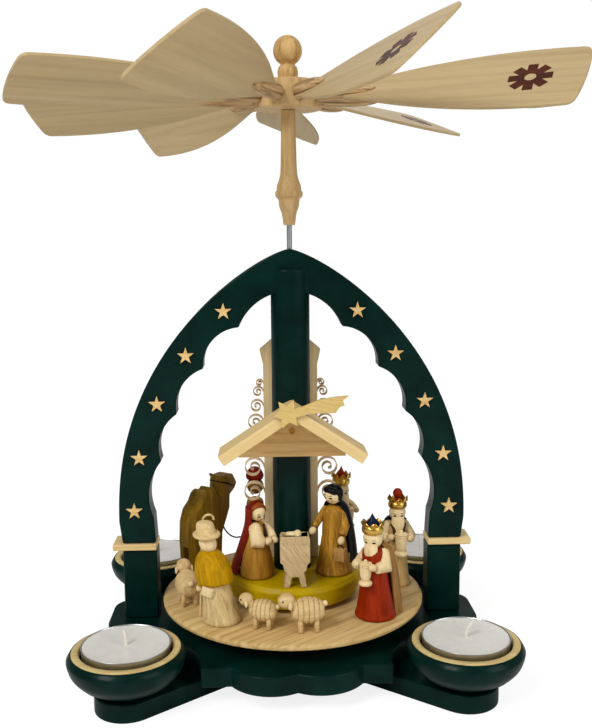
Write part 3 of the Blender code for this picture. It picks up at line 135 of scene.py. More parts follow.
def fresh(form, *values, **options):
    """A new shape that holds one form."""
    work = bmesh.new()
    form(work, *values, **options)
    return work


def flowing(points, steps=5):
    """Points along a smooth line through the given ones."""
    line = [Vector(p) for p in points]
    ends = [2 * line[0] - line[1], *line, 2 * line[-1] - line[-2]]
    made = []
    for a, b, c, d in zip(ends, ends[1:], ends[2:], ends[3:]):
        square, cube = 2 * a - 5 * b + 4 * c - d, 3 * b - a - 3 * c + d
        for i in range(steps):
            t = i / steps
            made.append(0.5 * (2 * b + t * (c - a) + t**2 * square + t**3 * cube))
    return made + [line[-1]]


def sized(rows, radius, tall, foot=0.0):
    """Shares of a radius and a height as (radius, height) points."""
    return [(r * radius, foot + z * tall) for r, z in rows]


def arc(centre, radius, start, end, steps=12):
    """Points on a circular arc, in degrees."""
    turns = [math.radians(start + (end - start) * i / steps) for i in range(steps + 1)]
    return [(centre[0] + radius * math.cos(t), centre[1] + radius * math.sin(t)) for t in turns]


def bow(start, end, share, steps=12):
    """An arc between two points, bulging to the right of the way by a share of its chord."""
    start, end = Vector(start), Vector(end)
    chord = end - start
    rise = abs(share) * chord.length
    radius = (chord.length**2 / 4 + rise**2) / (2 * rise)
    side = Vector((chord.y, -chord.x)).normalized() * math.copysign(1, share)
    centre = (start + end) / 2 - side * (radius - rise)
    sweep = math.copysign(2 * math.asin(min(1.0, chord.length / 2 / radius)), share)
    return [tuple(centre + Matrix.Rotation(sweep * i / steps, 2) @ (start - centre)) for i in range(steps + 1)]


def star(centre, radius, valley, count, first):
    """The outline of a star."""
    points = []
    for i in range(2 * count):
        reach = valley if i % 2 else radius
        turn = math.radians(first + 180 * i / count)
        points.append((centre[0] + reach * math.cos(turn), centre[1] + reach * math.sin(turn)))
    return points


def mirrored(points):
    """The points mirrored left to right, in backward order."""
    return [(-x, z) for x, z in reversed(points)]


def turned(work, profile, steps=64, at=(0, 0, 0), sweep=360.0):
    """Turn (radius, height) points about Z into new faces and return their vertices."""
    before = set(work.verts)
    line = [work.verts.new((p[0], 0, p[1])) for p in profile]
    edges = [work.edges.new(pair) for pair in zip(line, line[1:])]
    full = sweep == 360.0
    if not full:
        set_at(work, about("Z", -sweep / 2), line)
    bmesh.ops.spin(
        work,
        geom=line + edges,
        cent=(0, 0, 0),
        axis=(0, 0, 1),
        angle=math.radians(sweep),
        steps=steps,
        use_merge=full,
    )
    bmesh.ops.remove_doubles(work, verts=[v for v in work.verts if v not in before], dist=WELD)
    made = [v for v in work.verts if v not in before]
    set_at(work, moved(at), made)
    return made


def slab(work, outline, near, far, upright=True):
    """Fill a flat outline and give it depth; upright outlines are (x, z) and run in depth along Y."""
    place = (lambda p: (p[0], near, p[1])) if upright else (lambda p: (p[0], p[1], near))
    face = work.faces.new([work.verts.new(place(p)) for p in outline])
    grown = bmesh.ops.extrude_face_region(work, geom=[face], use_keep_orig=True)["geom"]
    step = (0, far - near, 0) if upright else (0, 0, far - near)
    set_at(work, moved(step), [g for g in grown if isinstance(g, bmesh.types.BMVert)])


def softened(work, width, segments=2, limit=30.0):
    """Round the sharp edges a little, as sandpaper does."""
    sharp = [e for e in work.edges if len(e.link_faces) == 2 and e.calc_face_angle(0) > math.radians(limit)]
    bmesh.ops.bevel(
        work,
        geom=sharp,
        offset=width,
        affect="EDGES",
        segments=segments,
        profile=0.5,
        material=-1,
        clamp_overlap=True,
    )
    return work


def thickened(work, thickness):
    """Give open faces a wall."""
    bmesh.ops.recalc_face_normals(work, faces=work.faces)
    bmesh.ops.solidify(work, geom=list(work.faces), thickness=thickness)
    return work


def box(work, size, at):
    """A block of the given size, centred at a point."""
    bmesh.ops.create_cube(work, size=1.0, matrix=moved(at) @ Matrix.Diagonal((*size, 1)))


def ball(work, matrix, segments=16, radius=1.0):
    """A ball in a frame of its own; its vertices are returned."""
    return bmesh.ops.create_uvsphere(
        work, u_segments=segments, v_segments=segments // 2, radius=radius, matrix=matrix
    )["verts"]


def egg(work, radius, at, squash=(1, 1, 1), segments=24):
    """A ball, or an egg with unlike shares of the radius along each axis."""
    return ball(work, moved(at) @ Matrix.Diagonal((*squash, 1)), segments, radius)


def facing(way):
    """The turn that takes +Z to a direction."""
    return Vector((0, 0, 1)).rotation_difference(way).to_matrix().to_4x4()


def rod_between(work, start, end, radius, end_radius, segments=20, soft=0.3):
    """A tapered rod with softened ends."""
    along = Vector(end) - Vector(start)
    length = along.length
    near = [(0, 0), (radius - soft, 0), (radius, soft)]
    far = [(end_radius, length - soft), (end_radius - soft, length), (0, length)]
    set_at(work, moved(start) @ facing(along), turned(work, near + far, segments))


def swept(work, path, radii, segments=12):
    """A round limb along a line of points, with a radius at each, mitred bends and closed ends."""
    line = [Vector(p) for p in path]
    ways = [(b - a).normalized() for a, b in zip(line, line[1:])]
    rings = []
    for i, point in enumerate(line):
        near, far = ways[max(i - 1, 0)], ways[min(i, len(ways) - 1)]
        ring = bmesh.ops.create_circle(
            work, segments=segments, radius=radii[i], matrix=moved(point) @ facing(near + far)
        )["verts"]
        bend = far - near
        if bend.length > 0.01:
            bend.normalize()
            widen = 1 / max(0.5, math.sqrt((1 + near.dot(far)) / 2)) - 1
            for vert in ring:
                vert.co += bend * (vert.co - point).dot(bend) * widen
        rings.append(ring)
    loops = [list({e for v in ring for e in v.link_edges}) for ring in rings]
    for near, far in zip(loops, loops[1:]):
        bmesh.ops.bridge_loops(work, edges=near + far)
    for loop in (loops[0], loops[-1]):
        bmesh.ops.edgeloop_fill(work, edges=loop)


def cut(work, *tools):
    """Take tools away from a shape with exact Booleans."""
    for tool in tools:
        pair = []
        for part in (work, tool):
            bmesh.ops.recalc_face_normals(part, faces=part.faces)
            mesh = bpy.data.meshes.new("cutting")
            part.to_mesh(mesh)
            part.free()
            pair.append(linked("cutting", mesh))
        step = pair[0].modifiers.new("cut", "BOOLEAN")
        step.operation = "DIFFERENCE"
        step.solver = "EXACT"
        step.object = pair[1]
        bpy.context.view_layer.update()
        graph = bpy.context.evaluated_depsgraph_get()
        work = bmesh.new()
        work.from_mesh(pair[0].evaluated_get(graph).data)
        for made in pair:
            bpy.data.objects.remove(made, do_unlink=True)
    return work


def piece(name, work, body, mat, slot, *nodes, place=None, smooth=40.0, weighted=False, sawn_at=(0, 0, 0)):
    """Turn a finished shape into a piece that rides on a body and stands for its CAD nodes.

    The shape's own millimetres, from before it is set in place, stay on it as the grain attribute,
    so that wood grain follows each piece; sawn_at is where in the log like pieces are sawn from.
    """
    layer = work.verts.layers.float_vector.new("grain")
    for vert in work.verts:
        vert[layer] = (vert.co + Vector(sawn_at)) * MM
    if place is not None:
        set_at(work, place)
    bmesh.ops.remove_doubles(work, verts=work.verts, dist=WELD)
    bmesh.ops.recalc_face_normals(work, faces=work.faces)
    set_at(work, Matrix.Scale(MM, 4))
    mesh = bpy.data.meshes.new(name)
    work.to_mesh(mesh)
    work.free()
    mesh.materials.append(mat)
    mesh.shade_smooth()
    mesh.set_sharp_from_angle(angle=math.radians(smooth))
    made = linked(name, mesh)
    if weighted:
        made.modifiers.new("flat_faces", "WEIGHTED_NORMAL").keep_sharp = True
    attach(made, body)
    if nodes:
        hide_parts(*nodes)
    return made


# Kinds of material
# Along its grain, a wood's pattern is this share as fine as across it
ALONG_GRAIN = 0.045


def wood(
    name,
    tones,
    fibre_mm=0.35,
    ring_mm=2.5,
    grain="Z",
    turn=(0, 0, 0),
    ring=0.5,
    rough=0.5,
    relief=0.15,
    gloss=0.0,
    sheen=0.2,
):
    """Wood with long fibres along its grain and wider growth bands; tones run from pale to dark."""
    made, tree, shader = blank(name)
    place = node(tree, "Attribute", attribute_name="grain").outputs["Vector"]
    leaning = node(tree, "Mapping", {"Vector": place, "Rotation": [math.radians(a) for a in turn]}).outputs[0]
    shares = {"X": (ALONG_GRAIN, 1, 1), "Z": (1, 1, ALONG_GRAIN)}[grain]
    along = node(tree, "Mapping", {"Vector": leaning, "Scale": shares}).outputs[0]
    fine = {"Vector": along, "Scale": 1 / (fibre_mm * MM), "Detail": 5.0, "Roughness": 0.65}
    broad = {"Vector": along, "Scale": 1 / (ring_mm * MM), "Detail": 2.0, "Roughness": 0.4, "Distortion": 0.6}
    fibres = node(tree, "TexNoise", fine).outputs[0]
    bands = node(tree, "TexNoise", broad).outputs[0]
    both = node(tree, "Mix", {"Factor": ring, "A": fibres, "B": bands}, data_type="FLOAT").outputs[0]
    stretched = node(tree, "MapRange", {"Value": both, "From Min": 0.3, "From Max": 0.7}).outputs[0]
    tint = node(tree, "ValToRGB", {"Fac": stretched}, tuple(zip((0, 0.5, 1), tones))).outputs[0]
    bump = node(tree, "Bump", {"Height": fibres, "Strength": relief, "Distance": fibre_mm * MM / 2})
    finish = {"Roughness": rough, "Specular IOR Level": sheen, "Coat Weight": gloss, "Coat Roughness": 0.25}
    feed(tree, shader, {"Base Color": tint, "Normal": bump.outputs[0], **finish})
    return made


def lacquer(name, tones, rough=0.3, gloss=0.5, sheen=0.06, ripple_mm=1.6, cloud_mm=12):
    """Opaque lacquer sprayed on sanded wood: deep colour, a soft gloss and a faint orange peel."""
    made, tree, shader = blank(name)
    place = node(tree, "TexCoord").outputs["Object"]
    cloud = node(tree, "TexNoise", {"Vector": place, "Scale": 1 / (cloud_mm * MM), "Detail": 3.0}).outputs[0]
    tint = node(tree, "ValToRGB", {"Fac": cloud}, tuple(zip((0.3, 0.5, 0.7), tones))).outputs[0]
    peel = node(tree, "TexNoise", {"Vector": place, "Scale": 1 / (ripple_mm * MM), "Detail": 2.0}).outputs[0]
    bump = node(tree, "Bump", {"Height": peel, "Strength": 0.12, "Distance": 0.05 * MM})
    finish = {"Roughness": rough, "Specular IOR Level": sheen, "Coat Weight": gloss, "Coat Roughness": 0.12}
    feed(tree, shader, {"Base Color": tint, "Normal": bump.outputs[0], **finish})
    return made


def metal(name, tint, rough, mark_mm=0.4):
    """Bare metal with fine handling marks."""
    made, tree, shader = blank(name)
    place = node(tree, "TexCoord").outputs["Object"]
    marks = node(tree, "TexNoise", {"Vector": place, "Scale": 1 / (mark_mm * MM), "Detail": 4.0}).outputs[0]
    spread = node(tree, "MapRange", {"Value": marks, "To Min": rough * 0.7, "To Max": rough * 1.4}).outputs[0]
    feed(tree, shader, {"Base Color": colour(tint), "Metallic": 1.0, "Roughness": spread})
    return made


def paint(name, tint, rough):
    """One even colour."""
    made, tree, shader = blank(name)
    feed(tree, shader, {"Base Color": colour(tint), "Roughness": rough})
    return made


def wax(name, tones, cloud_mm=4):
    """White wax, a little clouded; light goes into it."""
    made, tree, shader = blank(name)
    place = node(tree, "TexCoord").outputs["Object"]
    cloud = node(tree, "TexNoise", {"Vector": place, "Scale": 1 / (cloud_mm * MM), "Detail": 3.0}).outputs[0]
    tint = node(tree, "ValToRGB", {"Fac": cloud}, tuple(zip((0.2, 0.8), tones))).outputs[0]
    glow = {"Subsurface Weight": 0.2, "Subsurface Radius": (0.002, 0.0016, 0.0012)}
    feed(tree, shader, {"Base Color": tint, "Roughness": 0.45, **glow})
    return made


# Dark green lacquer on beech: near black in the shade, a soft glow where light lies on it
GREEN = lacquer("green_lacquer", ("011a16", "02201b", "032620"), rough=0.35, gloss=0.06)
# Olive lacquer, a plain satin coat
OLIVE = lacquer("olive_lacquer", ("a88c00", "b29500", "bc9e04"), rough=0.42, gloss=0.05, sheen=0.12)
# Natural maple, sawn and sanded: pale, with faint short fibres. The second copy, for the upright backboard, is
# painted paler still: painted light that makes up for the shade the board stands in
PINE = wood("natural_maple", ("edd49f", "e0c48a", "cfae70"), grain="X", ring_mm=3.0)
PINE_PAINTED_LIGHTER = wood("natural_maple_painted_lighter", ("f0dcb2", "e5cb99", "d2b17c"), ring_mm=3.0)
# The small stars are cut from a light board and darkened by oil
STAR_WOOD = wood("star_veneer", ("ecd098", "dcb878", "b88c4c"), grain="X", fibre_mm=0.4, ring_mm=1.4)
# The gable is stained a little browner than the roof
GABLE_WOOD = wood("gable_stain", ("e4c28a", "d4ae70", "bc9256"), grain="X", ring_mm=1.6)
# The comet is thin veneer with a close straight grain
COMET_WOOD = wood(
    "comet_veneer", ("e2c98a", "d2b46f", "b99750"), 0.3, 0.8, grain="X", turn=(0, -12, 0), ring=0.3
)
# The bowls' rings lie flat and have gone a little yellow
RING_WOOD = wood("ring_maple", ("d9c48e", "cab277", "b0965c"), grain="X")
# A shaving peeled from the board: pale outside, browner where it is scorched inside the roll
SHAVING = wood("peeled_shaving", ("ecd6ae", "ddbf92", "c49c6e"), 0.5, 2.0, grain="X", ring=0.3, relief=0.08)
# A thick shaving, oiled brown, for the front king's cloak
CLOAK_WOOD = wood("oiled_shaving", ("b98a4a", "9a6d34", "6f4b20"), ring_mm=1.8)
# The manger keeps the marks of the saw
RAW_WOOD = wood(
    "rough_sawn_board", ("dcc49c", "c0a478", "876c44"), 0.25, 0.6, turn=(0, 35, 0), ring=0.3, relief=0.7
)
# Turned lime for heads, hands and small turnings: very even and pale
LIME = wood("turned_lime", ("efdcb2", "e3ca98", "cfb07a"), 0.25, 1.6, relief=0.1)
# The shepherd's turned hat and bent crook are bare lime too
FELT = wood("turned_hat_lime", ("e6cf9e", "d8bd85", "bf9c62"), 0.3, 1.4, grain="X")
# Lime scored from top to bottom, left pale
SKIRT = wood("grooved_lime", ("e2cd9a", "cdb27c", "a08048"), 0.7, 1.2, relief=0.9)
# The same scored lime, gone brown under oil, for the right-hand king
WORN_LIME = wood("oiled_scored_lime", ("d6b67c", "be9c62", "967644"), 0.6, 1.4, relief=0.7)
# Lime turned across its rings for the sheep
SHEEP_WOOD = wood("ringed_lime", ("e2c795", "d0b27c", "ae8b55"), 0.3, 1.8, grain="X")
# Oiled beech with short dark flecks
BEECH_WOOD = wood("oiled_beech_grain", ("d2b282", "bf9e6a", "a07c4a"), 0.3, 1.8)
# The finial's beech has the broad dark streaks of heartwood
FINIAL_WOOD = wood("oak_like_beech", ("d8b67e", "c29c62", "7f5a2c"), 0.35, 2.4, ring=0.6, relief=0.2)
# Basswood veneer of the blades: greyish beige, long quiet grain
BASSWOOD = wood("basswood", ("c5ae82", "b9a176", "ab9269"), 0.35, 4.5, grain="X", ring=0.55)
# The whittled stems show their knife cuts as brown lines, drawn coarser than they are so that they show
STEM_WOOD = wood("whittled_stem", ("cdb085", "af8c5e", "543519"), 0.6, 1.4, grain="X", ring=0.8, relief=0.6)
# Ash plate: open stripes of early wood
ASH = wood("striped_ash_grain", ("d6bb84", "c6a66c", "a58149"), ring_mm=2.2, grain="X", turn=(0, 0, -40), ring=0.7)
# Walnut brown stain on turned wood, and walnut scored from top to bottom
WALNUT = wood("walnut_stain", ("c4963a", "ac7c26", "825616"), 0.3, 2.2)
GROOVED = wood("grooved_walnut", ("cb9a34", "a5751f", "5a390c"), 0.5, 1.2, relief=0.9)
# The father's bag is a plain block of alder
BAG_WOOD = wood("alder_block", ("c2985e", "af844c", "926a38"), 0.4, 1.6, grain="X")
# Red and dark red stains that let the grain through
RED = wood("red_stain", ("a43002", "8f2501", "6c1801"), 0.3, 2.4, gloss=0.04, sheen=0.1)
MAROON = wood("maroon_stain", ("8a220a", "731604", "500c02"), 0.3, 2.4, gloss=0.04, sheen=0.1)
ROSETTE = wood("rosette_stain", ("5e2a17", "4e2012", "3c160b"), 0.4, 3.0, grain="X")
# Ochre stain on a short, tooled surface
OCHRE = wood("ochre_stain_grain", ("cc9c06", "b38602", "8a6201"), 0.5, 1.5, relief=0.5, sheen=0.08)
# Olive brown stain of the carved animal, and a thinner coat of it on the driver's sleeves
CARVED = wood("carved_stain", ("a8820f", "886608", "553d05"), 0.5, 4.0, relief=0.3)
OLIVE_SLEEVE = wood("olive_sleeve_stain", ("8a7222", "705a16", "4c3b0c"), 0.4, 1.6)
# Brushed hair in a reddish brown stain
HAIR = wood("hair_stain", ("a85a1c", "8a4210", "642b08"), 0.3, 1.0, relief=0.4)
# Dark brown stain, for the neckline and the kings' vests; on the sheep the same brown is painted shade in the
# creases between the ribs
UMBER_AND_CREASE_SHADE = wood("umber_stain_and_painted_shade", ("4a2f12", "38220b", "241506"), 0.3, 1.5)
# The driver's head and hands are painted tawny brown instead of pale lime: painted shade for the shadow they stand
# in behind the curls
SKIN_PAINTED_SHADE = wood("tawny_painted_shade", ("8a6a34", "745625", "574016"), 0.3, 1.6)
# Black stain for hair, cloaks and the eyes, and dark blue for cap and cloak
BLACK = lacquer("black_stain", ("0c0d0f", "111316", "090a0b"), rough=0.35, gloss=0.1)
NAVY = lacquer("navy_stain", ("0d1428", "111a33", "0a0f1f"), rough=0.4, gloss=0.1)
# Face paint: a breath of pink and a brownish red
CHEEK = paint("cheek_paint", "e09a74", 0.6)
LIPS = paint("lip_paint", "8e2a1c", 0.5)
# Rubbed gold bronze on the crowns
GOLD = metal("gold_bronze", "d8b055", 0.32)
# Drawn steel rod
STEEL_ROD = metal("drawn_steel", "c3c6c8", 0.28)
# Turned brass bearing
BRASS_PART = metal("turned_brass", "c49a4a", 0.3)
# Pressed aluminium cup of the tealight, its white wax and its waxed cotton wick
TIN = metal("pressed_aluminium", "d2d4d6", 0.3)
WAX = wax("candle_wax", ("d2d1cb", "dedcd5"))
WICK = paint("waxed_cotton_wick", "e6e1d4", 0.7)
# Dark twisted thread
THREAD = paint("twisted_thread", "2a2620", 0.85)

# Slots of the record that several pieces share
LACQUERED, MAPLE, OILED = "green_lacquered_wood", "pale_maple", "oiled_beech"
BROWN_STAIN, RED_STAIN, OCHRE_STAIN = "walnut_brown_stain", "dark_red_stain", "ochre_stain"


# Lead string: from the camel's halter down behind its neck to the driver's hand, in metres
STRING_ROUTE = (
    (-0.03637, 0.04491, 0.06710),
    (-0.03650, 0.04500, 0.06450),
    (-0.03662, 0.04505, 0.06180),
    (-0.03670, 0.04505, 0.05900),
    (-0.03672, 0.04500, 0.05620),
    (-0.03666, 0.04485, 0.05340),
    (-0.03645, 0.04465, 0.05070),
    (-0.03600, 0.04435, 0.04820),
    (-0.03530, 0.04395, 0.04590),
    (-0.03435, 0.04350, 0.04390),
    (-0.03320, 0.04305, 0.04230),
    (-0.03190, 0.04255, 0.04110),
    (-0.03050, 0.04205, 0.04030),
    (-0.02900, 0.04150, 0.03990),
    (-0.02750, 0.04095, 0.03995),
    (-0.02600, 0.04040, 0.04045),
)
STRING_RADIUS = 0.0004


def lead_string():
    curve = bpy.data.curves.new("string", "CURVE")
    curve.dimensions = "3D"
    curve.bevel_depth = STRING_RADIUS
    curve.bevel_resolution = 3
    curve.use_fill_caps = True
    spline = curve.splines.new("POLY")
    line = flowing(STRING_ROUTE, 3)
    spline.points.add(len(line) - 1)
    for point, place in zip(spline.points, line):
        point.co = (*place, 1)
    curve.materials.append(THREAD)
    made = linked("string", curve)
    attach(made, "rotor")
    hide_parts("lead_string")


lead_string()

# Levels and places shared by several pieces
CUP_X, CUP_Y = 71.3, 56.5
CUPS = {
    "front_left": (-CUP_X, -CUP_Y, 0),
    "front_right": (CUP_X, -CUP_Y, 0),
    "rear_left": (-CUP_X, CUP_Y, 0),
    "rear_right": (CUP_X, CUP_Y, 0),
}
SIDES = ((-1, "left"), (1, "right"))
PLAY = 0.3
ARM_TOP = 8.0
BOARD_BOTTOM, BOARD_TOP = 8.3, 17.0
POST_HEIGHT, TRIM_HEIGHT = 33.0, 3.0
ARCH_FOOT, ARCH_HEIGHT, ARCH_HALF_WIDTH = 53.9, 136.0, 80.894
HALF_DEPTH = 6.0
ROD_RADIUS, ROD_HOLE = 1.2, 1.5
STAGE_BOTTOM, STAGE_TOP = 30.2, 39.7
ON_PLATE, ON_STAGE = 27.9, 40.0
BACKBOARD_FRONT = 9.2
HOUSE_FRONT, HOUSE_BACK = -27.7, -9.2
HOUSE_RIDGE = STAGE_TOP + 82
GABLE_FRONT = -12.2
PEG_LEVEL = 107.7
SPINDLE_BOTTOM, ROD_TOP = 200.6, 226.0
HUB_BOTTOM, HUB_TOP, HUB_RADIUS, HUB_BORE, HUB_ROUND = 251.4, 263.4, 15.1, 2.5, 0.8
BLADE_LEVEL = 257.4


# Base
ARM_HALF_WIDTH = 14
ARM_REACH = math.hypot(CUP_X, CUP_Y)
ARM_ANGLE = math.degrees(math.atan2(CUP_Y, CUP_X))
BOARD_HALF_DEPTH, LOBE_DEPTH, LOBE_END = 58.5, 6.5, (27, 59.3)
BOWL_CLEARING = 30.8
BOARD_END, BOARD_END_ROUND = (77.5, 8.5), 9.5
POST_X, TRIM_X = 71.7, 74


def bar(half_width):
    """The outline of a base arm, with round ends."""
    far, near = (ARM_REACH, 0), (-ARM_REACH, 0)
    return arc(far, half_width, -90, 90, 24) + arc(near, half_width, 90, 270, 24)


def base():
    """Two crossed bars, half lapped where they meet, under a lobed board."""
    for word, turn, low in (("left_front", ARM_ANGLE, ARM_TOP / 2), ("right_front", -ARM_ANGLE, -ARM_TOP / 2)):
        work = fresh(slab, bar(ARM_HALF_WIDTH), 0, ARM_TOP, upright=False)
        notch = fresh(slab, bar(ARM_HALF_WIDTH + PLAY), low, low + ARM_TOP, upright=False)
        set_at(notch, about("Z", -2 * turn))
        work = softened(cut(work, notch), 0.7, 3, 50)
        name = "crossed_arm_" + word
        piece(
            name, work, "frame", GREEN, LACQUERED, "base_arm_" + word, place=about("Z", turn), weighted=True
        )

    lobe = bow((0, BOARD_HALF_DEPTH + LOBE_DEPTH), LOBE_END, -0.19)
    drop = math.degrees(math.asin((CUP_Y - BOARD_HALF_DEPTH) / BOWL_CLEARING))
    turn_in = math.degrees(math.asin((BOARD_END[0] - CUP_X) / BOWL_CLEARING))
    corner = arc((CUP_X, CUP_Y), BOWL_CLEARING, 180 + drop, 270 + turn_in, 16)
    quarter = lobe + [(27.8, 58.1)] + corner + arc(BOARD_END, BOARD_END_ROUND, 90, 0, 10)
    half = quarter + [(x, -y) for x, y in reversed(quarter)]
    work = fresh(slab, half + mirrored(half)[1:-1], BOARD_BOTTOM, BOARD_TOP, upright=False)
    bmesh.ops.remove_doubles(work, verts=work.verts, dist=0.01)
    softened(work, 0.8, 3, 50)
    piece("lobed_board", work, "frame", GREEN, LACQUERED, "base_board", weighted=True)


def posts():
    post_foot = BOARD_TOP + PLAY
    trim_foot = post_foot + POST_HEIGHT + PLAY
    for side, word in SIDES:
        work = fresh(box, (15.8, 2 * HALF_DEPTH, POST_HEIGHT), (side * POST_X, 0, post_foot + POST_HEIGHT / 2))
        softened(work, 0.8, 3)
        piece("post_" + word, work, "frame", GREEN, LACQUERED, "lower_post_" + word, weighted=True)
        work = fresh(box, (20.4, 14.2, TRIM_HEIGHT), (side * TRIM_X, 0, trim_foot + TRIM_HEIGHT / 2))
        softened(work, 0.5, 3)
        piece("strip_" + word, work, "frame", PINE, MAPLE, "trim_plate_" + word, weighted=True)


# Arch: shares of its half width and height, for the cusps of its inner edge and for its stars
CUSPS = ((0.792, 0), (0.800, 0.089), (0.748, 0.287), (0.652, 0.449), (0.496, 0.603), (0.292, 0.741))
STARS = ((0.377, 0.795), (0.593, 0.648), (0.762, 0.485), (0.872, 0.300), (0.909, 0.115))
# How far each bow between two cusps bulges, from the highest down, and the one across the crown
BULGES, CROWN_BULGE = (0.21, 0.185, 0.172, 0.137), 0.344


def arch_point(share):
    return (share[0] * ARCH_HALF_WIDTH, ARCH_FOOT + share[1] * ARCH_HEIGHT)


def arch():
    outer = [arch_point((0.984, 0)), arch_point((1.0, 0.075))]
    steps = 60
    for i in range(1, steps + 1):
        t = math.sin(math.pi / 2 * i / steps)
        outer.append(arch_point(((1 - t**2.2) ** 0.76, 0.075 + 0.925 * t)))
    marks = [arch_point(share) for share in CUSPS]
    inner = bow(mirrored(marks[-1:])[0], marks[-1], -CROWN_BULGE, 40)[20:]
    for i, share in zip(range(5, 1, -1), BULGES):
        inner += bow(marks[i], marks[i - 1], -share, 16)[1:]
    inner += [marks[0]]
    work = fresh(slab, outer + mirrored(outer[:-1]) + mirrored(inner)[:-1] + inner, -HALF_DEPTH, HALF_DEPTH)
    softened(work, 0.7, 3, 40)
    hole = fresh(turned, [(0, 150), (2, 150), (2, 200), (0, 200)], 24)
    piece("scalloped_arch", cut(work, hole), "frame", GREEN, LACQUERED, "arch", weighted=True)
    work = bmesh.new()
    for share in STARS:
        for side, _ in SIDES:
            x, z = arch_point(share)
            slab(work, star((side * x, z), 4, 1.52, 5, 90), -HALF_DEPTH + 0.3, -HALF_DEPTH - 1.2)
    softened(work, 0.12, 1, 50)
    piece("arch_stars", work, "frame", STAR_WOOD, MAPLE, "arch", smooth=20)


def column():
    """The bored column: a saddle straddles the arch's crown, and a hole takes the gable's peg."""
    profile = [(3, 181), *arc((7.7, 179.8), 1.2, 90, 0, 6), (8.9, ON_STAGE), (5.5, ON_STAGE)]
    work = fresh(turned, [*profile, (5.5, STAGE_BOTTOM), (3, STAGE_BOTTOM), (3, 181)], 96)
    saddle = fresh(box, (24, 2 * HALF_DEPTH + 2 * PLAY, 20), (0, 0, 182.55))
    hole = fresh(turned, [(0, 0), (1.8, 0), (1.8, 8), (0, 8)], 24)
    set_at(hole, moved((0, -13, PEG_LEVEL)) @ about("X", -90))
    piece("turned_column", cut(work, saddle, hole), "frame", GREEN, LACQUERED, "column")


def stage():
    rim = flowing([(31.35, 38.6), (32, 37.6), (32, 36), (31.8, 33), (31, STAGE_BOTTOM)], 4)
    profile = [(5.8, STAGE_TOP), *arc((30.4, 39.0), 0.7, 90, 20, 4), *rim, (5.8, STAGE_BOTTOM), (5.8, STAGE_TOP)]
    piece("round_stage", fresh(turned, profile, 128), "frame", OLIVE, "olive_yellow_stain", "stage")


# Backboard and its shaved curls: each pair's level as a share of the board's height, and its size
BACKBOARD_HALF, BACKBOARD_TALL, BACKBOARD_THICK = 12.9, 114.8, 5
CURLS = ((0.285, 1.08), (0.391, 1.04), (0.491, 1.0), (0.585, 0.84), (0.654, 0.70), (0.715, 0.57), (0.752, 0.42))
CURL_DIAMETER, CURL_WIDTH, SHAVING_THICK = 10.6, 4, 0.45
CURL_TURNS, CURL_STEPS = 1.75, 72


def backboard():
    half = BACKBOARD_HALF
    shoulder = ON_STAGE + 95.3
    right = [(half, ON_STAGE), (half, shoulder), (half * 1.12, shoulder + 7.2)]
    outline = [*right, (0, ON_STAGE + BACKBOARD_TALL), *mirrored(right)]
    work = softened(fresh(slab, outline, BACKBOARD_FRONT, BACKBOARD_FRONT + BACKBOARD_THICK), 0.35, 2)
    # The board takes the maple copy that is painted paler, as painted light against its shade
    piece("peaked_board", work, "frame", PINE_PAINTED_LIGHTER, MAPLE, "backboard", weighted=True)
    for side, word in SIDES:
        work = bmesh.new()
        for level, size in CURLS:
            reach = CURL_DIAMETER * size / 2
            x, z = side * (half + reach - 0.4), ON_STAGE + level * BACKBOARD_TALL
            verts = []
            for i in range(CURL_STEPS + 1):
                run = i / CURL_STEPS
                radius = reach * (1 - 0.8 * run**1.25) - 0.25
                turn = 2 * math.pi * CURL_TURNS * run
                place = (x - side * radius * math.cos(turn), BACKBOARD_FRONT + 0.5, z + radius * math.sin(turn))
                verts.append(work.verts.new(place))
            edges = [work.edges.new(pair) for pair in zip(verts, verts[1:])]
            grown = bmesh.ops.extrude_edge_only(work, edges=edges)["geom"]
            set_at(work, moved((0, CURL_WIDTH, 0)), [g for g in grown if isinstance(g, bmesh.types.BMVert)])
        thickened(work, SHAVING_THICK)
        piece("curls_" + word, work, "frame", SHAVING, MAPLE, "backboard", smooth=50)


# House roof
ROOF_PITCH, ROOF_REACH, ROOF_THICK = 33.3, 33.3, 5
GABLE_HALF = 24.5


def house():
    """Two boards that meet at the ridge, the gable under them and the peg that pins it."""
    pitch = math.radians(ROOF_PITCH)
    for side, word in SIDES:
        length = ROOF_REACH / math.cos(pitch)
        start = -3.28 if side > 0 else 3.7
        outline = [(max(start, 0), 0), (length, 0), (length, -ROOF_THICK), (start, -ROOF_THICK)]
        work = softened(fresh(slab, outline, HOUSE_FRONT, HOUSE_BACK), 0.3, 2)
        place = Matrix.Diagonal((side, 1, 1, 1)) @ moved((0, 0, HOUSE_RIDGE)) @ about("Y", ROOF_PITCH)
        piece("roof_" + word, work, "frame", PINE, MAPLE, "roof_board_" + word, place=place, weighted=True)

    foot = STAGE_TOP + 56
    peak = HOUSE_RIDGE - (ROOF_THICK + PLAY) / math.cos(pitch)
    right = [(GABLE_HALF, foot), (GABLE_HALF, peak - GABLE_HALF * math.tan(pitch))]
    outline = [(-GABLE_HALF, foot), *right, (0, peak), *mirrored(right[1:])]
    work = softened(fresh(slab, outline, GABLE_FRONT, HOUSE_BACK), 0.2, 2)
    piece("gable_panel", work, "frame", GABLE_WOOD, OILED, "gable", weighted=True)
    profile = [(0, 0), (1.5, 0), (1.5, 6.2), *arc((1.2, 6.2), 0.3, 0, 90, 3), (0.5, 6.5), (0.45, 6.2), (0, 6.2)]
    place = moved((0, -6.1, PEG_LEVEL)) @ about("X", 90)
    piece("gable_dowel", fresh(turned, profile, 32), "frame", WALNUT, BROWN_STAIN, "gable_peg", place=place)


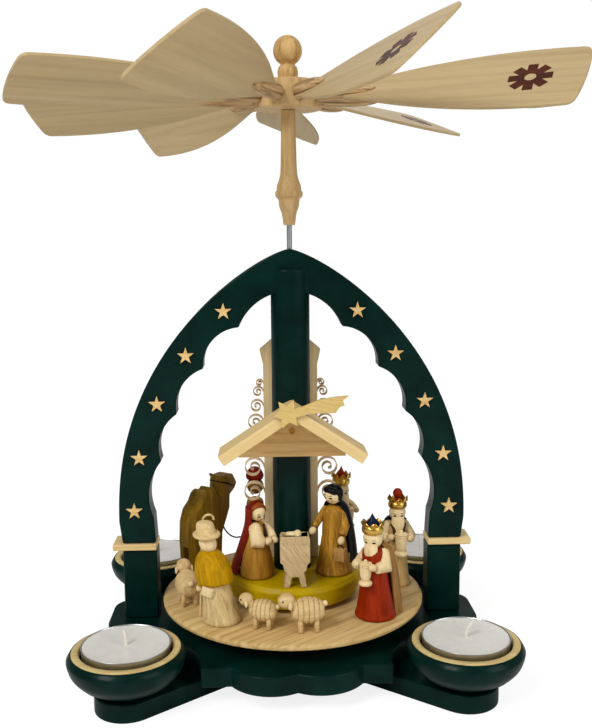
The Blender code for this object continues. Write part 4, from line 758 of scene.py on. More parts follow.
# Comet: its tail in shares of the star's radius
COMET_CENTRE, COMET_RADIUS = (-2.1, HOUSE_RIDGE - 2.8), 6.8
COMET_FRONT, COMET_BACK = -29.4, -28.0
COMET_TAIL = (
    *((0.15, 0.30), (0.9, 0.46), (2.0, 0.90), (3.0, 1.08), (3.92, 1.14), (3.52, 0.84)),
    *((3.64, 0.52), (3.3, 0.40), (3.06, 0.02), (2.3, 0.02), (1.4, 0.0), (0.5, -0.25)),
)


def comet():
    (x, z), radius = COMET_CENTRE, COMET_RADIUS
    work = fresh(slab, star(COMET_CENTRE, radius, 3.74, 6, 68), COMET_FRONT, COMET_BACK)
    slab(work, [(x + radius * r, z + radius * s) for r, s in COMET_TAIL], COMET_FRONT + 0.02, COMET_BACK - 0.02)
    softened(work, 0.12, 1, 50)
    piece("comet", work, "frame", COMET_WOOD, MAPLE, "comet_star", smooth=20)


# Wheel: turned outlines in shares of the radius and the height
SPINDLE_NECK = ((0.50, 1.0), (0.55, 0.72), (0.62, 0.457), (0.86, 0.352), (0.90, 0.305))
SPINDLE_BEAD = ((1.0, 0.29), (1.0, 0.26))
SPINDLE_FOOT = ((0.93, 0.245), (0.78, 0.225), (0.72, 0.17), (0.62, 0.13), (0.535, 0.10), (0.42, 0.0))
FINIAL_BALL = (
    *((0.0, 1.0), (0.3, 0.985), (0.6, 0.93), (0.86, 0.83), (0.98, 0.70), (0.96, 0.58)),
    *((0.78, 0.46), (0.50, 0.375)),
)
FINIAL_NECK = ((0.50, 0.345), (0.62, 0.31), (0.70, 0.22), (0.69, 0.12), (0.62, 0.0))
TENON = 2.2


def wheel():
    profile = [(0, ROD_TOP), (ROD_RADIUS, ROD_TOP), (ROD_RADIUS, 16.7), (0, 14.3)]
    piece("steel_rod", fresh(turned, profile, 32), "rotor", STEEL_ROD, "bright_steel", "rod")

    def spindle(rows):
        return sized(rows, 6.2, 50.5, SPINDLE_BOTTOM)

    bore = ROD_TOP + PLAY
    profile = [(0, 256.9), (TENON, 256.9), (TENON, 251.1), *flowing(spindle(SPINDLE_NECK), 5)]
    profile += [*spindle(SPINDLE_BEAD), *flowing(spindle(SPINDLE_FOOT), 4)]
    profile += [(ROD_HOLE, SPINDLE_BOTTOM), (ROD_HOLE, bore), (0, bore)]
    piece("turned_spindle", fresh(turned, profile, 64), "rotor", BEECH_WOOD, OILED, "spindle", smooth=45)

    inside, low, high = HUB_RADIUS - HUB_ROUND, HUB_BOTTOM + HUB_ROUND, HUB_TOP - HUB_ROUND
    rim = arc((inside, high), HUB_ROUND, 90, 0, 4) + arc((inside, low), HUB_ROUND, 0, -90, 4)
    profile = [(HUB_BORE, HUB_TOP), *rim, (HUB_BORE, HUB_BOTTOM), (HUB_BORE, HUB_TOP)]
    piece("wheel_hub", fresh(turned, profile, 96), "rotor", BEECH_WOOD, OILED, "hub")

    foot = HUB_TOP + PLAY
    ball_line, neck = (flowing(sized(r, 6.5, 19.8, foot), n) for r, n in ((FINIAL_BALL, 5), (FINIAL_NECK, 4)))
    profile = [*ball_line, *neck, (TENON, foot), (TENON, 258.4), (0, 258.4)]
    piece("finial_ball", fresh(turned, profile, 64), "rotor", FINIAL_WOOD, OILED, "finial", smooth=50)


# Each blade's azimuth, pitch, skew in its own plane and slide along its stem
BLADES = (
    (-31.3, 41.8, -0.8, 3.8),
    (-71.3, 42.2, 3.4, -3.1),
    (-111.3, 32.4, 1.0, -1.4),
    (-151.3, 20.6, -0.2, -3.5),
    (-191.3, 32.3, -1.0, -1.8),
    (-231.3, 53.0, -0.4, 2.8),
    (-271.3, 21.8, -0.1, 2.4),
    (-311.3, 21.7, -0.6, 1.0),
    (-351.3, 5.0, 0.0, 0.0),
)
BLADE_DROOP = 0.8
BLADE_REACH, BLADE_HALF, BLADE_THICK = 125.0, 18.8, 1.4
# A blade's half width along its reach, and round its outer end, in shares
BLADE_SIDE = (
    *((0.165, 0.17), (0.2, 0.21), (0.3, 0.411), (0.4, 0.605), (0.5, 0.761), (0.6, 0.878)),
    *((0.7, 0.957), (0.8, 0.998), (0.9, 1.0), (0.97, 0.98)),
)
BLADE_END = (
    *((0.97, 0.98), (0.982, 0.966), (0.992, 0.92), (0.999, 0.84), (1.0045, 0.65)),
    *((1.0085, 0.35), (1.0102, 0.0)),
)
STEM_LENGTH = 43.0
STEM = ((0, 43), (0.8, 42.8), (1.7, 41.2), (2.9, 37), (3.6, 31), (3.8, 26), (3.8, 16.2))
STEM_TENON = ((3.5, 15.4), (2.5, 15.4), (2.5, 10.7), (0, 10.7))
# The rosette: its centre on the blade, its hole, and each petal's corners as turn and reach
ROSETTE_CENTRE, ROSETTE_HOLE = (104.9, -0.3), 2.3
PETAL = ((-22.5, 5.0), (-13, 8.8), (13, 8.8), (22.5, 5.0))


def blades():
    edge = flowing([(r * BLADE_REACH, w * BLADE_HALF) for r, w in BLADE_SIDE], 4)[:-1]
    edge += flowing([(r * BLADE_REACH, w * BLADE_HALF) for r, w in BLADE_END], 4)
    outline = [(x, -y) for x, y in edge[:-1]] + edge[::-1]
    petals = [arc(ROSETTE_CENTRE, reach, 45 * k + 4 + turn, 0, 1)[0] for k in range(8) for turn, reach in PETAL]
    for i, (azimuth, pitch, skew, slide) in enumerate(BLADES):
        body = "blade_body_%d" % (i + 1)
        name = "blade_%d" % (i + 1)
        place = moved((0, 0, BLADE_LEVEL)) @ about("Z", azimuth) @ about("Y", BLADE_DROOP) @ about("X", pitch)
        askew = moved((STEM_LENGTH + slide, 0, 0)) @ about("Z", skew)
        on_blade = place @ askew @ moved((-STEM_LENGTH, 0, 0))
        work = fresh(slab, outline, -BLADE_THICK / 2, BLADE_THICK / 2, upright=False)
        softened(work, 0.35, 3, 50)
        log = (9 * i, 41 * i, 0)
        panel = (name + "_panel", work, body, BASSWOOD, "blade_basswood", name)
        piece(*panel, place=on_blade, weighted=True, sawn_at=log)
        work = fresh(turned, [*flowing(STEM, 3), *STEM_TENON], 32)
        set_at(work, about("Y", 90))
        piece(name + "_stem", work, body, STEM_WOOD, "blade_basswood", name, place=place)
        work = fresh(slab, petals, 0.4, 0.8, upright=False)
        bmesh.ops.remove_doubles(work, verts=work.verts, dist=0.01)
        hole = fresh(slab, arc(ROSETTE_CENTRE, ROSETTE_HOLE, 0, 350, 35), 0, 2, upright=False)
        rosette = (name + "_rosette", cut(work, hole), body, ROSETTE, RED_STAIN, name)
        piece(*rosette, place=on_blade, smooth=20)


# Plate
PLATE_TOP, PLATE_BOTTOM = 27.6, 24.6
PLATE_RIM = ((60.2, 27.6), (60.9, 27.3), (61.6, 26.6), (61.5, 25.6), (60.6, 24.9), (59.6, 24.6))
BOSS = ((1.5, 24.3), (9, 24.3), (9, 19.4), (8.2, 18.6), (1.5, 18.6), (1.5, 24.3))


def plate():
    profile = [(ROD_HOLE, PLATE_TOP), *PLATE_RIM, (ROD_HOLE, PLATE_BOTTOM), (ROD_HOLE, PLATE_TOP)]
    piece("striped_plate", fresh(turned, profile, 160), "rotor", ASH, "striped_ash", "figure_plate", smooth=30)
    piece("round_boss", fresh(turned, BOSS, 64), "rotor", BEECH_WOOD, OILED, "plate_boss")


# Bowls and tealights, as turned outlines
BOWL_INSIDE = ((0, 13.1), (19.2, 13.1), (19.2, 22.3), (22.8, 22.3), (22.8, 25.8), (22.9, 25.9))
BOWL_SHOULDER = ((23.1, 25.8), (24.5, 23.6), (24.7, 23.1))
BOWL_UNDER = ((24.7, 22.6), (24.3, 20.6), (22.9, 17.2), (19.4, 13.4), (15.1, 10.9), (10.5, 8.3))
BOWL_TENON = ((4, 8.3), (4, 3), (0, 3))
RING = (
    *((19.4, 25.6), (19.6, 26.0), (20.1, 26.3), (22.0, 26.3), (22.5, 26.1)),
    *((22.7, 25.7), (22.7, 22.6), (19.4, 22.6), (19.4, 25.6)),
)
TIN_INSIDE = ((0, 13.8), (17.2, 13.8), (18.0, 14.6), (18.2, 28.1), (18.4, 28.35))
TIN_OUTSIDE = ((18.4, 27.8), (18.35, 14.5), (17.5, 13.4), (0, 13.4))
WAX_BLOCK = ((0, 27.6), (3, 27.62), (12, 27.7), (17.0, 27.75), (18.0, 28.0), (18.0, 14.8), (0, 14.8))
# A wick's share of its lean at each height
WICK_LINE = ((0, 26.6), (0.05, 29.2), (0.35, 31.8), (1, 34.2))
WICK_LEAN, FRONT_RIGHT_LEAN = -0.9, 2.9


def bowls():
    for spot, centre in CUPS.items():
        place = moved(centre)
        work = fresh(turned, [*BOWL_INSIDE, *BOWL_SHOULDER, *flowing(BOWL_UNDER, 6), *BOWL_TENON], 96)
        piece("cup_" + spot, work, "frame", GREEN, LACQUERED, "bowl_" + spot, place=place, smooth=35)
        work = fresh(turned, RING, 96)
        piece("ring_" + spot, work, "frame", RING_WOOD, MAPLE, "rim_ring_" + spot, place=place, smooth=60)

        lean = FRONT_RIGHT_LEAN if spot == "front_right" else WICK_LEAN
        path = flowing([(share * lean, 0, z) for share, z in WICK_LINE], 3)
        lip = arc((18.5, 28.25), 0.15, 90, -90, 4)
        for name, work, mat in (
            ("cup_of_tealight_", fresh(turned, [*TIN_INSIDE, *lip, *TIN_OUTSIDE], 96), TIN),
            ("wax_", fresh(turned, WAX_BLOCK, 96), WAX),
            ("wick_", fresh(swept, path, [0.6] * (len(path) - 1) + [0.4], 12), WICK),
        ):
            tealight = "tealight_" + spot
            rides = ("candle_" + spot, mat, "tealight_aluminium", tealight)
            piece(name + spot, work, *rides, place=place, smooth=60)


# Figures face +X with their soles at the origin, and are then stood in their places.
# Each has its foot's radius, the levels of chin, brow and top, the head's radius and the hat's
SIZES = {
    "mother_figure": (7.8, 26.0, 31.3, 35.8, 3.7, 4.2),
    "father_figure": (8.5, 32.5, 38.6, 41.4, 4.2, 4.4),
    "shepherd": (8.7, 31.4, 37.0, 44.0, 3.7, 6.0),
    "king_front": (9.3, 33.0, 38.5, 47.6, 4.0, 5.0),
    "king_right": (7.0, 33.2, 38.6, 48.0, 3.7, 4.6),
    "king_rear": (7.0, 36.5, 42.4, 52.4, 4.0, 4.6),
    "camel_driver": (8.0, 36.0, 42.2, 51.2, 3.9, 5.0),
}
ROBE = ((0.2, 0.975), (0.46, 0.945), (0.56, 0.88), (0.57, 0.74), (0.62, 0.6), (0.75, 0.36), (0.9, 0.12), (1.0, 0.03))
BELL = ((0.2, 0.975), (0.44, 0.945), (0.55, 0.88), (0.58, 0.74), (0.68, 0.6), (0.84, 0.42), (0.95, 0.2), (1.0, 0.03))


def stood(spot, heading, level):
    """A place on the plate or the stage, with a heading in degrees."""
    return moved((*spot, level)) @ about("Z", heading)


def walking(spot):
    """The heading of a figure that walks with the plate."""
    return math.degrees(math.atan2(-spot[0], spot[1]))


def on_head(middle, radius, yaw, pitch, size):
    """A place on a head's skin: its own X points outwards, and size is depth, width and height."""
    turn = about("Z", yaw) @ about("Y", -pitch)
    return moved(middle) @ turn @ moved((radius, 0, 0)) @ Matrix.Diagonal((*size, 1))


def hood(work, radius, middle, yaw, tilt, depth):
    """A ball cut flat by a plane that faces forward, for hair and hoods that leave a face free."""
    made = egg(work, radius, middle, segments=40)
    front = (about("Z", yaw) @ about("Y", -tilt)).to_3x3() @ Vector((1, 0, 0))
    geom = made + list({e for v in made for e in v.link_edges}) + list({f for v in made for f in v.link_faces})
    split = bmesh.ops.bisect_plane(
        work, geom=geom, plane_co=Vector(middle) + front * depth, plane_no=front, clear_outer=True
    )
    rim = [g for g in split["geom_cut"] if isinstance(g, bmesh.types.BMEdge)]
    bmesh.ops.edgeloop_fill(work, edges=rim)


class Figure:
    """A turned figure: its pieces ride on one body and stand for one node."""

    def __init__(self, name, body, slot, place, lean=0.0):
        self.name, self.body, self.slot, self.place = name, body, slot, place
        self.base, self.chin, self.brow, self.top, self.radius, self.hat = SIZES[name]
        slant = Matrix.Identity(4)
        slant[0][2] = lean
        self.leaning = place @ slant

    def add(self, word, work, mat, smooth=60, place=None):
        place = self.place if place is None else place
        piece(f"{self.name}_{word}", work, self.body, mat, self.slot, self.name, place=place, smooth=smooth)

    def robe(self, mat, shares=ROBE, belt=None):
        line = flowing(sized(shares, self.base, self.chin), 5)
        hem = [(0.985 * self.base, 0.3), (0.96 * self.base, 0), (0, 0)]
        work = fresh(turned, [(0, self.chin * 0.985), *line, *hem], 96)
        if belt:
            for vert in work.verts:
                vert.co.xy *= 1 - 0.06 * math.exp(-(((vert.co.z - belt) / 0.7) ** 2))
        self.add("robe", work, mat, 50, self.leaning)

    def head(self, middle, radius, yaw=0.0, tilt=0.0, skin=LIME):
        """A ball head with a plain painted face: lowered lids, brows, a small nose and a quiet mouth."""

        def feature(aside, above, *size):
            return on_head(middle, radius, yaw + aside, above - tilt, size)

        work = fresh(egg, radius, middle, segments=40)
        ball(work, feature(0, -14, 0.55, 0.45, 0.6))
        self.add("head", work, skin, place=self.leaning)
        dark, pink = bmesh.new(), bmesh.new()
        for side, _ in SIDES:
            ball(dark, feature(side * 26, -4, 0.14, 0.85, 0.4))
            ball(dark, feature(side * 26, 12, 0.1, 0.85, 0.14))
            ball(pink, feature(side * 34, -20, 0.05, 0.65, 0.55))
        self.add("eyes", dark, BLACK, place=self.leaning)
        self.add("cheeks", pink, CHEEK, place=self.leaning)
        self.add("mouth", fresh(ball, feature(0, -32, 0.14, 0.6, 0.22)), LIPS, place=self.leaning)

    def arms(self, mat, limbs, skin=LIME):
        """Mitred sleeves, each from shoulder over elbow to wrist with its radii, and the hands."""
        cloth, hands = bmesh.new(), bmesh.new()
        for shoulder, elbow, wrist, palm, (wide, bent, cuff), hand in limbs:
            shoulder, elbow, wrist = Vector(shoulder), Vector(elbow), Vector(wrist)
            up = (shoulder - elbow).normalized()
            out = (wrist - elbow).normalized()
            path = [shoulder + up * wide * 0.8, shoulder + up * wide * 0.45, shoulder]
            path += [elbow, wrist - out * 0.3, wrist]
            swept(cloth, path, [wide * 0.4, wide * 0.82, wide, bent, cuff, cuff - 0.3], 20)
            size = Matrix.Diagonal((hand * 0.92, hand * 0.92, hand * 1.15, 1))
            ball(hands, moved(palm) @ facing(Vector(palm) - wrist) @ size, 20)
        self.add("sleeves", cloth, mat, 35)
        self.add("hands", hands, skin)

    def cloak(self, mat, levels, sweep=210, thick=0.5, word="cloak"):
        """A shell open at the front, through (radius, height, push back) levels from its top to its hem."""
        fine = flowing(levels, 4)
        work = fresh(turned, fine, 48, sweep=sweep)
        set_at(work, about("Z", 180))
        for vert in work.verts:
            above = min(fine, key=lambda p: abs(p.y - vert.co.z))
            vert.co.x -= above.z
        self.add(word, thickened(work, thick), mat, 50)


# Family on the stage: each arm has shoulder, elbow, wrist, palm, the sleeve's radii and the hand's size
MOTHER_ARMS = (
    ((0.6, 3.2, 24.4), (5.0, 3.7, 20.2), (7.6, 2.0, 18.1), (8.8, 1.4, 17.7), (2.0, 2.2, 1.9), 1.7),
    ((1.1, -3.1, 23.2), (3.0, -4.6, 17.7), (5.8, -2.7, 16.9), (7.2, -1.8, 17.6), (3.0, 3.2, 2.5), 1.9),
)
VEIL = (
    *((4.6, 32.4, 0.5), (4.7, 29.0, 0.5), (4.6, 24.0, 1.2), (4.8, 18.0, 2.9)),
    *((5.2, 11.0, 5.0), (5.6, 5.0, 6.9), (5.8, 0.5, 8.0)),
)
FATHER_ARMS = (
    ((-0.4, 4.0, 28.6), (0.0, 6.0, 22.6), (2.6, 6.3, 19.0), (4.0, 6.3, 16.9), (1.9, 2.2, 1.9), 1.75),
    ((1.0, -3.9, 29.6), (3.0, -6.0, 24.9), (5.6, -6.8, 21.8), (7.0, -7.2, 20.2), (1.7, 1.8, 1.6), 1.75),
)
# Locks of the fringe: ahead, aside, above and size
FRINGE = ((2.3, 1.7, 2.5, 2.2), (2.6, 0.0, 2.9, 2.0), (2.1, -1.6, 2.8, 1.9))
FATHER_CLOAK = (
    *((3.4, 34.0, 0.6), (5.2, 32.0, 1.6), (6.4, 28.4, 2.8)),
    *((7.6, 19.5, 4.2), (8.3, 10.5, 5.2), (8.5, 4.6, 5.6)),
)


def mother():
    her = Figure("mother_figure", "frame", BROWN_STAIN, stood((-16.9, -12.1), -30, ON_STAGE))
    middle = Vector((0.7, 0, 29.7))
    her.robe(WALNUT, BELL)
    her.head(middle, her.radius, yaw=-22, tilt=12)
    her.arms(LIME, MOTHER_ARMS)
    her.add("neckline", fresh(rod_between, (3.3, 0.0, 24.6), (5.0, 0.0, 19.0), 1.1, 0.8, 20), UMBER_AND_CREASE_SHADE)
    her.add("hair", fresh(hood, her.radius + 0.6, middle + Vector((-0.1, 0, 0.6)), -30, -30, 0.9), HAIR)
    her.add("hood", fresh(hood, her.radius + 1.15, middle + Vector((-0.5, 0, 0.95)), -16, -14, -0.5), MAROON)
    her.cloak(MAROON, VEIL, sweep=200, word="veil")


def father():
    him = Figure("father_figure", "frame", BROWN_STAIN, stood((19.0, -9.5), -125, ON_STAGE))
    middle = Vector((0.3, 0, 36.7))
    him.robe(GROOVED, belt=0.57 * him.chin)
    him.head(middle, 4.15, yaw=-12, tilt=6)
    him.arms(GROOVED, FATHER_ARMS)
    work = fresh(hood, 4.7, middle + Vector((-0.3, 0, 0.6)), -12, -42, 1.1)
    for *way, size in FRINGE:
        egg(work, size, middle + Vector(way), (1, 1.1, 0.8), 24)
    egg(work, 1.5, middle + Vector((0.6, 3.7, 0.2)), (0.8, 0.5, 1.6), 20)
    him.add("hair", work, BLACK)
    him.cloak(BLACK, FATHER_CLOAK, sweep=225)
    him.add("bag", softened(fresh(box, (3.0, 5.4, 6.2), (4.5, 6.3, 10.4)), 0.3, 2), BAG_WOOD, 40)
    handle = [(4.5, y, z) for y, z in arc((6.3, 13.4), 1.5, 180, 0, 10)]
    work = fresh(swept, handle, [0.25] * len(handle), 8)
    rod_between(work, (4.3, 6.3, 16.0), (4.5, 6.3, 14.2), 0.3, 0.3, 12, 0.05)
    him.add("handle", work, BLACK)


# Manger: half of its end outline in shares of its width and height
CRIB_WIDTH, CRIB_HEIGHT, CRIB_HALF_DEPTH = 13.4, 22.9, 4.5
CRIB = ((0.20, 0.0), (0.39, 0.0), (0.28, 0.31), (0.36, 0.33), (0.41, 0.46), (0.5, 0.50), (0.5, 0.94), (0.46, 1.0))
STRAW_BARS, STRAW_PITCH = 13, 0.9


def manger():
    """A block with crossed legs, hollowed above and sloped in front, with straw and a child."""
    right = sized(CRIB, CRIB_WIDTH, CRIB_HEIGHT)
    fork = 0.11 * CRIB_WIDTH
    work = fresh(slab, [*right, *mirrored(right), (-fork, 4.76), (fork, 4.76)], -CRIB_HALF_DEPTH, CRIB_HALF_DEPTH)
    gap = fresh(box, (14, 4.5, 6.7), (0, 0, 1.4))
    hollow = fresh(box, (10.6, 5.4, 4.0), (0, 0.8, 24.1))
    slope = fresh(box, (20, 6, 12), (0, 0, 0))
    set_at(slope, moved((0, -5.95, 22.7)) @ about("X", -30))
    work = softened(cut(work, gap, hollow, slope), 0.25, 2, 40)
    place = moved((0.4, -25, ON_STAGE))
    piece("crib", work, "frame", RAW_WOOD, MAPLE, "manger", place=place, weighted=True)
    work = bmesh.new()
    for i in range(STRAW_BARS):
        x = STRAW_PITCH * (i - STRAW_BARS // 2)
        rod_between(work, (x, -4.35, 19.6), (x, -2.3, 22.9), 0.22, 0.22, 8, 0.05)
    piece("crib_straw", work, "frame", RAW_WOOD, MAPLE, "manger", place=place)
    work = fresh(egg, 1.8, (1.2, -0.4, 23.6), segments=24)
    rod_between(work, (0.9, 0.2, 23.0), (-3.8, 0.8, 22.9), 1.6, 1.3)
    piece("child_figure", work, "frame", LIME, MAPLE, "child", place=place, smooth=60)


# Kings: outlines in shares of a radius and a height
CROWN_BAND = ((0.80, 0.0), (0.93, 0.12), (1.0, 0.35), (1.0, 0.62), (0.94, 0.86), (0.87, 1.0))
CROWN_FLARE = ((0.88, 0.15), (0.93, 0.45), (1.0, 0.75), (1.08, 1.0))
CROWN_PETALS = 8
CUP_LID = ((0, 1.0), (0.2, 0.98), (0.28, 0.94), (0.22, 0.9), (0.4, 0.87), (0.9, 0.86), (1.0, 0.84), (0.9, 0.81))
CUP_BODY = ((0.70, 0.80), (0.97, 0.79), (1.0, 0.76), (0.92, 0.72), (0.9, 0.6), (0.84, 0.4), (0.7, 0.24), (0.52, 0.2))
CUP_FOOT = ((0.52, 0.16), (0.85, 0.14), (1.03, 0.08), (0.95, 0.0))
CONE_CAP = ((0.0, 1.0), (0.12, 0.86), (0.34, 0.66), (0.6, 0.48), (0.74, 0.36), (0.76, 0.0))
BALL_CAP = (
    *((0.0, 1.0), (0.28, 0.96), (0.46, 0.84), (0.5, 0.74), (0.42, 0.6)),
    *((0.26, 0.52), (0.3, 0.45), (0.76, 0.3), (0.76, 0.0)),
)
BEARD = ((0, 0.6), (2.5, 0.5), (3.1, -1.2), (3.0, -3.8), (2.2, -6.4), (1.1, -8.2), (0, -8.8))
# The vest's edge: ahead, aside, and its level as a share of the chin's
VEST = ((4.1, 3.4, 0.93), (5.6, 2.5, 0.87), (6.0, 2.3, 0.78), (6.5, 2.4, 0.7))
# Cloaks: radius, height and push back, from the top to the hem
LONG_CLOAK = (
    *((3.2, 33.6, 0.6), (4.6, 32.2, 1.8), (5.9, 29.0, 3.0), (6.7, 25.0, 3.8)),
    *((7.3, 19.0, 4.7), (7.8, 12.5, 5.5), (8.2, 4.5, 6.3), (8.4, 0.3, 6.5)),
)
SHORT_CAPE = ((3.2, 33.6, 0.2), (5.2, 31.8, 0.8), (6.2, 28.6, 1.6), (6.6, 25.5, 2.2), (6.8, 22.0, 2.8))
SLIM_CLOAK = ((3.4, 32.4, -0.2), (4.8, 30.4, 0.5), (5.2, 22.0, 1.4), (5.4, 12.0, 2.4), (5.6, 0.3, 3.4))
# crown_size: radius, band and petals; cup: foot, radius and height; cloak: levels and sweep; arms as above
KINGS = {
    "king_front": {
        "spot": (36, -32.3),
        "mats": (RED, NAVY, CLOAK_WOOD, RED),
        "slot": RED_STAIN,
        "yaw": 15,
        "crown_size": (4.75, 3.7, 1.8),
        "cap": CONE_CAP,
        "limbs": (
            ((-0.3, 3.9, 29.4), (0.9, 5.6, 23.8), (6.4, 5.0, 24.1), (8.8, 4.4, 25.2), (2.6, 2.9, 2.2), 1.75),
            ((1.0, -3.9, 29.0), (4.4, -5.8, 23.8), (9.6, -3.6, 25.4), (11.6, -2.5, 26.4), (2.5, 2.7, 2.1), 1.7),
        ),
        "cup": ((9.2, 1.0, 17.0), 2.85, 11.4),
        "cloak": (LONG_CLOAK, 215),
    },
    "king_right": {
        "spot": (50.4, 5),
        "mats": (WORN_LIME, RED, NAVY, UMBER_AND_CREASE_SHADE),
        "slot": MAPLE,
        "yaw": -5,
        "crown_size": (4.5, 3.3, 2.4),
        "cap": BALL_CAP,
        "limbs": (
            ((0.0, 4.0, 29.6), (2.4, 6.6, 24.4), (6.2, 5.4, 23.6), (8.2, 4.4, 24.6), (2.2, 2.4, 2.0), 1.75),
            ((-0.2, -4.0, 29.6), (-0.6, -6.2, 23.4), (3.8, -4.8, 23.8), (5.8, -3.6, 24.9), (2.2, 2.4, 2.0), 1.75),
        ),
        "cup": ((8.6, 0.4, 16.8), 3.1, 12.4),
        "cloak": (SHORT_CAPE, 190),
    },
    "king_rear": {
        "spot": (23.6, 32.4),
        "mats": (MAROON, RED, BLACK, UMBER_AND_CREASE_SHADE),
        "slot": RED_STAIN,
        "yaw": 10,
        "crown_size": (4.6, 3.6, 2.8),
        "cap": CONE_CAP,
        "limbs": (
            ((0.4, 4.6, 33.4), (3.2, 8.6, 29.4), (7.0, 6.6, 28.6), (8.7, 5.2, 28.7), (2.2, 2.5, 2.0), 1.7),
            ((0.4, -4.0, 32.6), (2.6, -6.0, 25.6), (7.0, -5.0, 25.2), (9.0, -4.0, 25.8), (1.9, 2.2, 1.8), 1.6),
        ),
        "cup": ((8.4, -1.8, 21.6), 2.9, 11.4),
        "cloak": (SLIM_CLOAK, 190),
    },
}


def crown(work, radius, band, petals):
    """A bulging turned band whose thin upper wall is cut to short flaring petals."""
    line = flowing(sized(CROWN_BAND, radius, band), 3) + sized(CROWN_FLARE, radius, petals, band)
    turned(work, line, 96)
    for vert in work.verts:
        if vert.co.z > band:
            turn = math.atan2(vert.co.y, vert.co.x) / (2 * math.pi) * CROWN_PETALS
            wave = 2 * abs((turn % 1) - 0.5)
            vert.co.z = band + (vert.co.z - band) * max(0.08, wave**0.8)
    thickened(work, 0.35)


def goblet(work, foot, radius, tall):
    """A lidded cup with a small knob, standing on the hands' level."""
    line = []
    for part in (CUP_LID, CUP_BODY, CUP_FOOT):
        line += flowing(sized(part, radius, tall), 3)
    turned(work, [*line, (0, 0)], 40, at=foot)


def king(name, spot, mats, slot, yaw, crown_size, cap, limbs, cup, cloak):
    """A king: robe, sleeves, crown over a pointed or a ball cap, beard, goblet and cloak."""
    robe_mat, cap_mat, cloak_mat, vest_mat = mats
    him = Figure(name, "rotor", slot, stood(spot, walking(spot), ON_PLATE), lean=0.05)
    middle = Vector((0.5, 0, (him.chin + him.brow) / 2 + 0.2))
    him.robe(robe_mat)
    him.head(middle, him.radius + 0.3, yaw=yaw, tilt=10)
    him.add("crown", fresh(crown, *crown_size), GOLD, 50, him.leaning @ moved((0.5, 0, him.brow - 0.2)))
    if cloak_mat is BLACK:
        hair = fresh(hood, him.radius + 0.7, middle + Vector((-0.3, 0, 0.2)), yaw, -20, 0.8)
        him.add("hair", hair, BLACK, place=him.leaning)
    line = flowing(sized(cap, him.hat, him.top - him.brow, him.brow), 4)
    him.add("cap", fresh(turned, [*line, (0, him.brow)], 40, at=(0.4, 0, 0)), cap_mat, place=him.leaning)
    him.arms(LIME, limbs)
    him.cloak(cloak_mat, cloak[0], sweep=cloak[1], thick=0.9)
    work = bmesh.new()
    for side, _ in SIDES:
        strip = [(ahead, side * aside, him.chin * level) for ahead, aside, level in VEST]
        swept(work, flowing(strip, 3), [0.75] * 10, 12)
    him.add("vest", work, vest_mat)
    work = fresh(turned, flowing(BEARD, 4), 32)
    chin = moved((him.radius * 0.62 + 0.2, 0, 0)) @ about("Y", -8) @ Matrix.Diagonal((0.5, 1, 1, 1))
    set_at(work, moved((0.5, 0, middle.z - him.radius * 0.55)) @ about("Z", yaw) @ chin)
    him.add("beard", work, LIME, place=him.leaning)
    him.add("goblet", fresh(goblet, *cup), LIME, 40)


# Shepherd and driver: arms as above, the rest in shares of a radius and a height
SHEPHERD_ARMS = (
    ((5.6, 3.4, 24.5), (7.4, 4.2, 19.0), (8.8, 3.2, 15.8), (9.6, 2.6, 14.2), (1.4, 1.6, 1.5), 1.7),
    ((5.4, -3.2, 25.0), (8.0, -3.8, 22.0), (10.0, -2.2, 21.4), (10.7, -1.4, 21.3), (1.4, 1.5, 1.4), 1.6),
)
SKIRT_LINE = ((0.66, 0.6), (0.68, 0.5), (0.76, 0.36), (0.88, 0.18), (0.99, 0.04))
CAPE = ((0, 1.01), (0.3, 1.0), (0.57, 0.955), (0.79, 0.865), (0.91, 0.75), (0.95, 0.65), (0.94, 0.575))
CAPE_HEM = ((0.84, 0.55), (0, 0.57))
HAT = ((0.0, 1.0), (0.34, 0.99), (0.58, 0.9), (0.67, 0.66), (0.7, 0.36), (0.72, 0.28))
BRIM = ((0.72, 0.28), (0.9, 0.31), (1.0, 0.24), (1.0, 0.12), (0.9, 0.03), (0.62, 0.0))
CROOK_FOOT, CROOK_GRIP, CROOK_HIGH, CROOK_BEND = (10.5, 0.7, 0.3), (10.6, -1.4, 21.3), (10.7, -3.8, 42.6), 2.6
DRIVER_ARMS = (
    ((0.4, 3.8, 32.0), (-0.6, 6.4, 22.0), (-2.4, 6.4, 15.4), (-3.2, 6.24, 13.0), (1.8, 1.8, 1.5), 1.6),
    ((0.4, -3.8, 32.0), (2.6, -6.2, 24.0), (6.2, -4.2, 22.6), (7.6, -3.6, 22.3), (1.8, 1.8, 1.5), 1.6),
)
TURBAN = ((0.0, 1.0), (0.45, 0.93), (0.74, 0.72), (1.0, 0.35), (0.92, 0.08), (0.8, 0.0))


